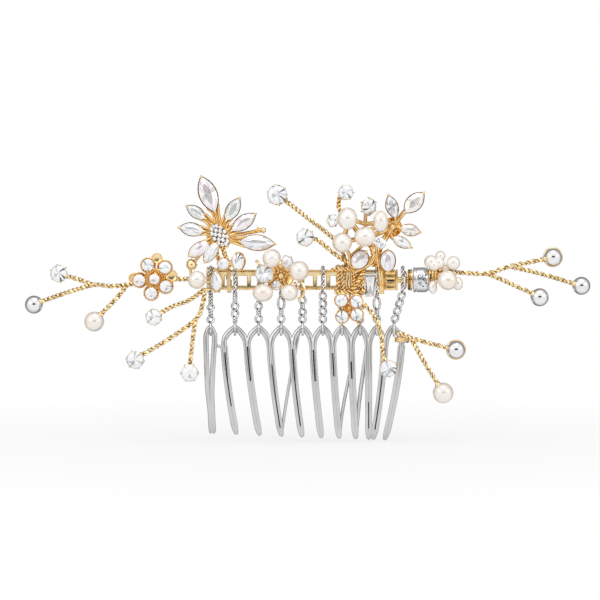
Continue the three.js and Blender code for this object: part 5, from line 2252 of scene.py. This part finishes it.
    def ovals(self, parts: list[Part]) -> None:
        """The two oval stones that hang between the spray and the bar.

        Args:
            parts: The frame's parts, which their collars join.
        """
        jeweller, finish = self.jeweller, self.jeweller.finish
        y = DEPTH.front_y
        for node, base, tip, width, colour in (
            ("oval_stone_right", (20.6, 42.9), (20.6, 48.3), 4.0, "lilac"),
            ("oval_stone_left", (12.0, 43.9), (15.2, 47.9), 4.4, "blush"),
        ):
            place = along(base, tip, y - 0.5, width, 1.7, (2, 4))
            parts += jeweller.rim_parts(Cut.OVAL, place)
            stone = jeweller.long_stone(Cut.OVAL, place, getattr(finish, colour), 0.6)
            Bench.set_down(f"{node}_cut", [stone], "ornament", (node,), Slot.BLUSH)
            middle = ((base[0] + tip[0]) / 2, (base[1] + tip[1]) / 2)
            reach = [(18, y, 46.6), (middle[0], y, middle[1])]
            parts.append((WireBench.plain(reach, 0.7), HERE, finish.rich_gold))


@dataclass
class LowerFlower:
    """The small flower under the bar, with the wire that trails over the comb."""

    jeweller: Jeweller
    centre: Spot = (11.0, 33.8)
    petals: tuple[Spot, ...] = ((-1.9, 1.9), (1.8, 1.6), (-1.7, -2.1), (1.9, -1.6))

    def build(self) -> None:
        """Builds the flower and hands it to the frame."""
        jeweller, finish = self.jeweller, self.jeweller.finish
        x, z = self.centre
        y = DEPTH.front_y - 0.7
        parts: list[Part] = [
            (jeweller.metal.petal(), front(x, y + 0.4, z, (1.1, 1.1, 1.8)), finish.rich_gold),
            (jeweller.metal.grain(), front(x, y - 0.4, z, 0.4), finish.gold),
        ]
        for number, (dx, dz) in enumerate(self.petals, 1):
            parts.append((jeweller.metal.petal(), front(x + dx, y + 0.2, z + dz, (1.9, 1.9, 1.6)),
                          finish.rich_gold))
            place = front(x + dx, y - 0.2, z + dz, 1.6, 22.0 * number, (1.5 * dz, 1.5 * dx))
            parts += jeweller.cup_parts(place, 4)
            stone = jeweller.round_stone(place, finish.crystal)
            Bench.set_down(f"lower_flower_stone_{number}", [stone], "ornament", ("lower_flower",),
                           Slot.CRYSTAL)
        trail = [
            (x + 1.5, y, z + 2), (14, y, 35.2), (16.2, y, 33.2), (17.9, y - 0.4, 30.6), (19, y - 0.6, 27),
            (19.4, y - 0.6, 22), (20.2, y - 0.5, 19.8),
        ]
        parts.append((WireBench.twisted(trail, 1.25), HERE, finish.rope))
        end = front(20.7, y - 0.2, 18.8, 2.2, 9.0, (0, 6))
        parts += jeweller.cup_parts(end, 6)
        Bench.set_down("trailing_stone", [jeweller.round_stone(end, finish.crystal)], "ornament",
                       ("lower_flower",), Slot.CRYSTAL)
        for dx in (-2.1, 2.3):
            parts.append((jeweller.metal.grain(), front(x + dx, y - 0.3, z - 3.9, 0.42), finish.gold))
        parts += Binding(jeweller).parts(11.15, (11.4, y, 35), 1)
        Bench.set_down("lower_flower_frame", parts, "ornament", ("lower_flower",), Slot.GOLD)
        LOG.info("lower flower with %d stones", len(self.petals))


@dataclass
class BarEnd:
    """The pearl and the drop stone at the bar's left end."""

    jeweller: Jeweller

    def build(self) -> None:
        """Builds both and hands them to the frame."""
        jeweller, finish = self.jeweller, self.jeweller.finish
        middle, size = box_middle("bar_end_pearl"), box_size("bar_end_pearl")
        place = at(*middle, size.y / 2 * BALL_ROUNDING, (20, 35, 90))
        Bench.set_down("bar_end_nacre", [(jeweller.metal.pearl_ball(), place, finish.nacre)], "ornament",
                       ("bar_end_pearl",), Slot.PEARL)
        base, tip = (-22.2, 43.4), (-22.0, 38.0)
        place = along(tip, base, -1.8, 3.3, 1.5, (0, -6))
        stone = jeweller.long_stone(Cut.DROP, place, finish.crystal, 0.45)
        Bench.set_down("drop_stone_cut", [stone], "ornament", ("drop_stone",), Slot.CRYSTAL)
        parts = jeweller.rim_parts(Cut.DROP, place)
        y = DEPTH.front_y
        parts += jeweller.beaded_ring(front(middle.x, y + 0.5, middle.z, 1.75), 16, 0.14)
        parts.append((jeweller.metal.petal(), front(middle.x, y + 0.9, middle.z, (1.75, 1.75, 2)),
                      finish.rich_gold))
        parts += Binding(jeweller).parts(-21.6, (-24.9, y + 0.7, 40.2), 1)
        Bench.set_down("bar_end_setting", parts, "ornament", (), Slot.GOLD)
        LOG.info("bar end")


@dataclass
class PearlCluster:
    """Pearls threaded on gold wire where the right sprig leaves the bar."""

    jeweller: Jeweller
    lobes: tuple[tuple[Point, float], ...] = (
        ((31.4, -2.9, 45.3), 1.7), ((33.3, -2.6, 45.0), 1.55), ((33.8, -2.0, 46.8), 1.25),
        ((32.2, -3.3, 44.5), 1.45),
    )
    loose: tuple[tuple[Point, Point], ...] = (
        ((37.0, -2.6, 45.0), (1.75, 1.6, 1.75)), ((38.1, -3.1, 39.9), (1.35, 1.4, 1.65)),
        ((31.9, -2.9, 39.0), (1.1, 1.2, 1.65)), ((35.0, -1.6, 43.6), (1.2, 1.2, 1.0)),
    )

    def build(self) -> None:
        """Builds the cluster and hands it to the frame."""
        jeweller, finish = self.jeweller, self.jeweller.finish
        ball = jeweller.metal.pearl_ball()
        parts: list[Part] = [
            (ball, at(*middle, radius, (40.0 * n, 25, 90)), finish.nacre)
            for n, (middle, radius) in enumerate(self.lobes)
        ]
        Bench.set_down("baroque_pearl", parts, "ornament", ("cluster_pearl_baroque",), Slot.PEARL)
        middle, size = box_middle("cluster_pearl_large"), box_size("cluster_pearl_large")
        large = (ball, at(*middle, size.y / 2 * BALL_ROUNDING, (10, 20, 100)), finish.nacre)
        Bench.set_down("large_cluster_pearl", [large], "ornament", ("cluster_pearl_large",), Slot.PEARL)
        for number, (spot, radii) in enumerate(self.loose, 1):
            pearl = (ball, at(*spot, radii, (0, 0, 0)), finish.nacre)
            Bench.set_down(f"small_cluster_pearl_{number}", [pearl], "ornament", (), Slot.PEARL)
        wires: list[Part] = []
        middles = [self.lobes[0][0], self.lobes[1][0], self.loose[0][0], tuple(middle), self.loose[1][0],
                   self.loose[2][0]]
        core = (34.6, -1.4, 42.6)
        for spot in middles:
            bend = tuple((a + b) / 2 - (0.5 if i == 1 else 0) for i, (a, b) in enumerate(zip(core, spot)))
            wires.append((WireBench.plain([core, bend, spot], 0.55), HERE, finish.gold))
        coil = [Vector((31.2 + 0.72 * n / 20, -0.6 - 1.5 * math.cos(n * math.pi / 10),
                        42.3 + 1.5 * math.sin(n * math.pi / 10)))
                for n in range(61)]
        wires.append((WireBench.drawn([coil], 0.36, 2), HERE, finish.rich_gold))
        for number in range(5):
            turn = number * 1.256
            spot = (34.6 + 1.1 * math.cos(turn), -2.3, 42.8 + 0.9 * math.sin(turn))
            wires.append((jeweller.metal.grain(), front(*spot, 0.5), finish.gold))
        Bench.set_down("cluster_wires", wires, "ornament", ("right_sprig",), Slot.GOLD)
        LOG.info("pearl cluster with %d pearls", 2 + len(self.loose))


class Sprigs:
    """The twisted branches, placed as the CAD places them."""

    def __init__(self, jeweller: Jeweller) -> None:
        """Keeps the jeweller.

        Args:
            jeweller: Who sets the stones.
        """
        self.jeweller = jeweller

    def left(self) -> Sprig:
        """The left sprig, whose trunk runs behind the left flower to the bar.

        Returns:
            The sprig.
        """
        behind = 1.45
        trunk = [(-65.8, 35.2, 0), (-59, 37.6, 0), (-52.8, 39.4, 0), (-48.5, 39.1, 0.2),
                 (-43.5, 39.6, behind),
                 (-37.6, 41, behind), (-31, 40.9, behind), (-27, 41.2, behind)]
        y = DEPTH.front_y
        gold = self.jeweller.finish.gold
        bead = self.jeweller.metal.metal_ball()
        extra: list[Part] = [
            (bead, at(-28.3, y - 0.3, 44.6, 1.25, (0, 0, 90)), gold),
            (WireBench.plain([(-28.3, y, 44.2), (-28.6, y + 0.6, 42.6), (-28, y + 1.1, 41.4)], 0.7), HERE,
             gold),
        ]
        extra += self.jeweller.beaded_ring(front(-28.3, y - 0.3, 44.6, 1.3), 12, 0.17)
        extra += Binding(self.jeweller).parts(-24.2, (-27.4, y + behind, 41.2), 1)
        return Sprig(
            self.jeweller, "left_branch", "left_sprig", "ornament",
            [[(x, DEPTH.y(x) + back, z) for x, z, back in trunk],
             DEPTH.route([(-60.3, 41.6), (-57, 40.8), (-52.8, 39.3)]),
             [(-51.2, DEPTH.y(-51), 31.9), (-47.4, DEPTH.y(-47.4) + 0.2, 35.8),
              (-44.6, DEPTH.y(-45) + 1.1, 39.3)]],
            [((-61.5, DEPTH.y(-61.5) + 0.5, 42.1), 2.25, (2, -10))],
            ("left_sprig_ball",), ("left_sprig_pearl",), extra,
        )

    def lower_left(self) -> Sprig:
        """The lower left sprig with three stones."""
        return Sprig(
            self.jeweller, "lower_left_branch", "lower_left_sprig", "ornament",
            [DEPTH.route([(-24.9, 38.6), (-28.7, 35.8), (-33.2, 34.1), (-36.5, 32.2)]),
             DEPTH.route([(-24.9, 38.6), (-25.7, 34.2), (-27.4, 30.8), (-34, 26), (-41, 21.8)]),
             DEPTH.route([(-27.4, 30.8), (-28, 26.2), (-28.8, 19.2)])],
            [((x, DEPTH.y(x) + 0.5, z), radius, lean) for x, z, radius, lean in
             ((-37.7, 31.4, 2.1, (4, -4)), (-42.3, 20.8, 2.3, (-4, -8)), (-28.9, 17.7, 2.25, (-8, 4)))],
            extra=Binding(self.jeweller).parts(-22.7, (-24.9, DEPTH.front_y, 38.4), 1),
        )

    def stems(self) -> list[Sprig]:
        """The two stems above the middle of the bar.

        Returns:
            The long stem and the short one.
        """
        y = DEPTH.front_y
        bar_z = box_middle("gallery_bar").z
        turns = (WireBench.bar_turns(10.1, 1, 0.48, (1.15, 3.05), bar_z), HERE, self.jeweller.finish.gold)
        long_stem = Sprig(
            self.jeweller, "long_stem_branch", "long_stem", "ornament",
            [[(-5.4, y, 60.9), (0, y, 56.8), (5.6, y + 0.2, 52.4), (8.6, y + 1.4, 49.4), (10.1, 0, 45.4),
              (10.35, 0, 43.9)]],
            [((-6.8, y + 0.5, 61.9), 2.6, (4, -4))], extra=[turns],
        )
        short_stem = Sprig(
            self.jeweller, "short_stem_branch", "short_stem", "ornament",
            [[(1.4, y, 51.1), (3.2, y, 50.7), (7.4, y, 47.3), (11, y + 0.4, 44.8)]],
            [((0.2, y + 0.5, 51.4), 2.25, (0, -6))],
            extra=Binding(self.jeweller).parts(11.7, (11, y + 0.4, 44.8), 1),
        )
        return [long_stem, short_stem]

    def right(self) -> Sprig:
        """The right sprig with three silver balls.

        Returns:
            The sprig.
        """
        bar_z = box_middle("gallery_bar").z
        ring = [Vector((31.8, 1.5 * math.cos(math.radians(a)), bar_z + 1.5 * math.sin(math.radians(a))))
                for a in range(0, 360, 15)]
        turn = (WireBench.drawn([ring], 0.4, 2, loop=True), HERE, self.jeweller.finish.gold)
        return Sprig(
            self.jeweller, "right_branch", "right_sprig", "ornament",
            [[(31.9, 0, bar_z + 1.5), (34, -0.4, 43), (36, -1.2, 43), (38, -1.8, 42.6)],
             DEPTH.route([(38, 42.6), (45.4, 42.3), (51.2, 44), (60.3, 45.8)]),
             DEPTH.route([(51.2, 44), (58.7, 42.2), (67.5, 39.5)]),
             DEPTH.route([(45.4, 42.3), (49.5, 40.6), (56.8, 37.3)])],
            balls=("right_ball_top", "right_ball_end", "right_ball_low"), extra=[turn],
        )

    def lower_right(self) -> Sprig:
        """The lower right sprig, wound round the comb's last leg.

        Returns:
            The sprig.
        """
        leg_x = box_middle("lower_right_sprig").x - box_size("lower_right_sprig").x / 2 + 1.95
        y = DEPTH.front_y + 0.3
        gold = self.jeweller.finish.gold
        extra: list[Part] = []
        for height in (25.8, 25.2):
            ring = [Vector((leg_x + 1.45 * math.cos(math.radians(a)),
                            0.35 + 1.25 * math.sin(math.radians(a)), height + a / 900))
                    for a in range(0, 360, 15)]
            extra.append((WireBench.drawn([ring], 0.4, 2, loop=True), HERE, gold))
        return Sprig(
            self.jeweller, "lower_right_branch", "lower_right_sprig", "comb",
            [[(leg_x - 1.1, -1.45, 27.6), (leg_x + 0.6, -1.6, 27.0), (27.0, y, 26.1), (32, y, 24.7),
              (35.5, y, 23.8)],
             [(26.4, y, 26.2), (27.4, y, 24.4), (29.6, y, 20.6), (33.1, y, 14.8)]],
            balls=("lower_right_ball",), pearls=("lower_right_pearl",), extra=extra,
        )

    def build(self) -> None:
        """Builds every branch."""
        for sprig in (self.left(), self.lower_left(), *self.stems(), self.right(), self.lower_right()):
            sprig.build()


# ---- studio -------------------------------------------------------------------------------------


@dataclass
class Studio:
    """A pale sweep of floor, a soft light tent open at the front, and the camera."""

    aim: Point = (-1.25, -1.0, 35.7)
    elevation: float = 3.0
    distance: float = 1.1
    field_mm: float = 150.0
    floor_size: float = 6.0
    greys: tuple[Spot, ...] = (
        (0.0, 0.65), (0.08, 0.34), (0.22, 0.16), (0.36, 0.45), (0.5, 0.8), (0.62, 0.92), (0.96, 0.9),
        (0.976, 0.03),
    )

    def floor(self) -> None:
        """Lays the floor level with the lowest tooth tip."""
        low = CAD_BOX[0]
        Bench.clear()
        bpy.ops.mesh.primitive_plane_add(size=self.floor_size, location=(0, 0, min(0.0, low[2]) - 0.0002))
        floor = bpy.context.active_object
        floor.name = "studio_floor"
        board = NodeBoard("floor_paper")
        board.feed("Base Color", board.ramp(board.noise(40.0),
                                            [(0.3, (0.9, 0.9, 0.9)), (0.7, (0.93, 0.93, 0.93))]))
        board.hold("Roughness", 0.55)
        tree = board.tree
        away = tree.nodes.new("ShaderNodeVectorMath")
        away.operation = "LENGTH"
        tree.links.new(board.place, away.inputs[0])
        fade = tree.nodes.new("ShaderNodeMapRange")
        fade.inputs["From Min"].default_value = 0.0
        fade.inputs["From Max"].default_value = 0.16
        fade.inputs["To Min"].default_value = 0.72
        tree.links.new(away.outputs["Value"], fade.inputs["Value"])
        glow = tree.nodes.new("ShaderNodeEmission")
        mirrored = tree.nodes.new("ShaderNodeEmission")
        tree.links.new(self.surround(tree, board.place, self.greys[:-1]), mirrored.inputs["Color"])
        mix = tree.nodes.new("ShaderNodeMixShader")
        seen = tree.nodes.new("ShaderNodeLightPath")
        pick = tree.nodes.new("ShaderNodeMixShader")
        output = tree.nodes["Material Output"]
        tree.links.new(fade.outputs["Result"], mix.inputs[0])
        tree.links.new(board.shader.outputs[0], mix.inputs[1])
        tree.links.new(glow.outputs[0], mix.inputs[2])
        tree.links.new(seen.outputs["Is Camera Ray"], pick.inputs[0])
        tree.links.new(mirrored.outputs[0], pick.inputs[1])
        tree.links.new(mix.outputs[0], pick.inputs[2])
        tree.links.new(pick.outputs[0], output.inputs["Surface"])
        floor.data.materials.append(board.material)

    @staticmethod
    def surround(
        tree: bpy.types.NodeTree, way: bpy.types.NodeSocket, greys: tuple[Spot, ...]
    ) -> bpy.types.NodeSocket:
        """Shades the surroundings from behind the comb, through its sides, to the front.

        Args:
            tree: The node tree.
            way: A direction from the comb.
            greys: Stops from behind (0) to the front (1), each with its grey.

        Returns:
            The grey's socket.
        """
        unit = tree.nodes.new("ShaderNodeVectorMath")
        unit.operation = "NORMALIZE"
        tree.links.new(way, unit.inputs[0])
        toward = tree.nodes.new("ShaderNodeVectorMath")
        toward.operation = "DOT_PRODUCT"
        toward.inputs[1].default_value = (0.03, -0.9995, 0.0)
        tree.links.new(unit.outputs["Vector"], toward.inputs[0])
        spread = tree.nodes.new("ShaderNodeMapRange")
        spread.inputs["From Min"].default_value = -1.0
        tree.links.new(toward.outputs["Value"], spread.inputs["Value"])
        ramp = tree.nodes.new("ShaderNodeValToRGB")
        while len(ramp.color_ramp.elements) < len(greys):
            ramp.color_ramp.elements.new(0.5)
        for element, (spot, grey) in zip(ramp.color_ramp.elements, greys):
            element.position = spot
            element.color = (grey, grey, grey, 1)
        tree.links.new(spread.outputs["Result"], ramp.inputs["Fac"])
        return ramp.outputs["Color"]

    def tent(self) -> None:
        """The world: white all round, with the dark opening of the tent towards the front."""
        world = bpy.data.worlds.new("light_tent")
        bpy.context.scene.world = world
        world.use_nodes = True
        tree = world.node_tree
        place = tree.nodes.new("ShaderNodeTexCoord")
        squeeze = tree.nodes.new("ShaderNodeMapping")
        squeeze.inputs["Scale"].default_value = (1.0, 1.0, 1.5)
        squeeze.inputs["Location"].default_value = (0.0, 0.0, -0.2)
        tree.links.new(place.outputs["Generated"], squeeze.inputs["Vector"])
        around = self.surround(tree, squeeze.outputs["Vector"], self.greys)
        seen = tree.nodes.new("ShaderNodeLightPath")
        mix = tree.nodes.new("ShaderNodeMix")
        mix.data_type = "RGBA"
        mix.inputs[7].default_value = (1, 1, 1, 1)
        tree.links.new(seen.outputs["Is Camera Ray"], mix.inputs[0])
        tree.links.new(around, mix.inputs[6])
        tree.links.new(mix.outputs[2], tree.nodes["Background"].inputs["Color"])
        tree.nodes["Background"].inputs["Strength"].default_value = 1.0

    def lamps(self) -> None:
        """Soft boxes above, to the left and to the right."""
        for name, place, size, power in (
            ("top_box", (0.05, -0.25, 0.75), 0.5, 1.2), ("left_box", (-0.6, -0.5, 0.4), 0.4, 0.7),
            ("right_box", (0.65, -0.4, 0.3), 0.3, 0.35),
        ):
            light = bpy.data.lights.new(name, "AREA")
            light.size = size
            light.energy = power
            lamp = bpy.data.objects.new(name, light)
            bpy.context.scene.collection.objects.link(lamp)
            lamp.location = place
            way = Vector((0, 0, 0.035)) - Vector(place)
            lamp.rotation_euler = way.to_track_quat("-Z", "Y").to_euler()

    def camera(self) -> None:
        """Sets the camera in front, a little above the middle."""
        data = bpy.data.cameras.new("front_camera")
        data.lens = data.sensor_width * self.distance / (self.field_mm * MM)
        data.clip_start = 0.01
        camera = bpy.data.objects.new("front_camera", data)
        bpy.context.scene.collection.objects.link(camera)
        aim = Vector(self.aim) * MM
        tip = math.radians(self.elevation)
        camera.location = aim + Vector((0, -math.cos(tip), math.sin(tip))) * self.distance
        camera.rotation_euler = (aim - camera.location).to_track_quat("-Z", "Y").to_euler()
        bpy.context.scene.camera = camera

    def build(self) -> None:
        """Sets up the studio."""
        self.camera()
        self.floor()
        self.tent()
        self.lamps()
        bpy.context.scene.view_settings.view_transform = "Standard"
        LOG.info("studio")


def main() -> None:
    """Builds the studio, then every sub-assembly in order."""
    logging.basicConfig(level=logging.INFO, format="%(name)s: %(message)s")
    Studio().build()
    finish = Finishes()
    jeweller = Jeweller(finish)
    WireComb(finish).build()
    TwistedTies(finish).build()
    for assembly in (GalleryBar, ThreadedPieces, LeftFlower, BarEnd, LeafSpray, CentreFlower, RightSpray,
                     LowerFlower, PearlCluster, Sprigs):
        assembly(jeweller).build()


if __name__ == "__main__":
    main()
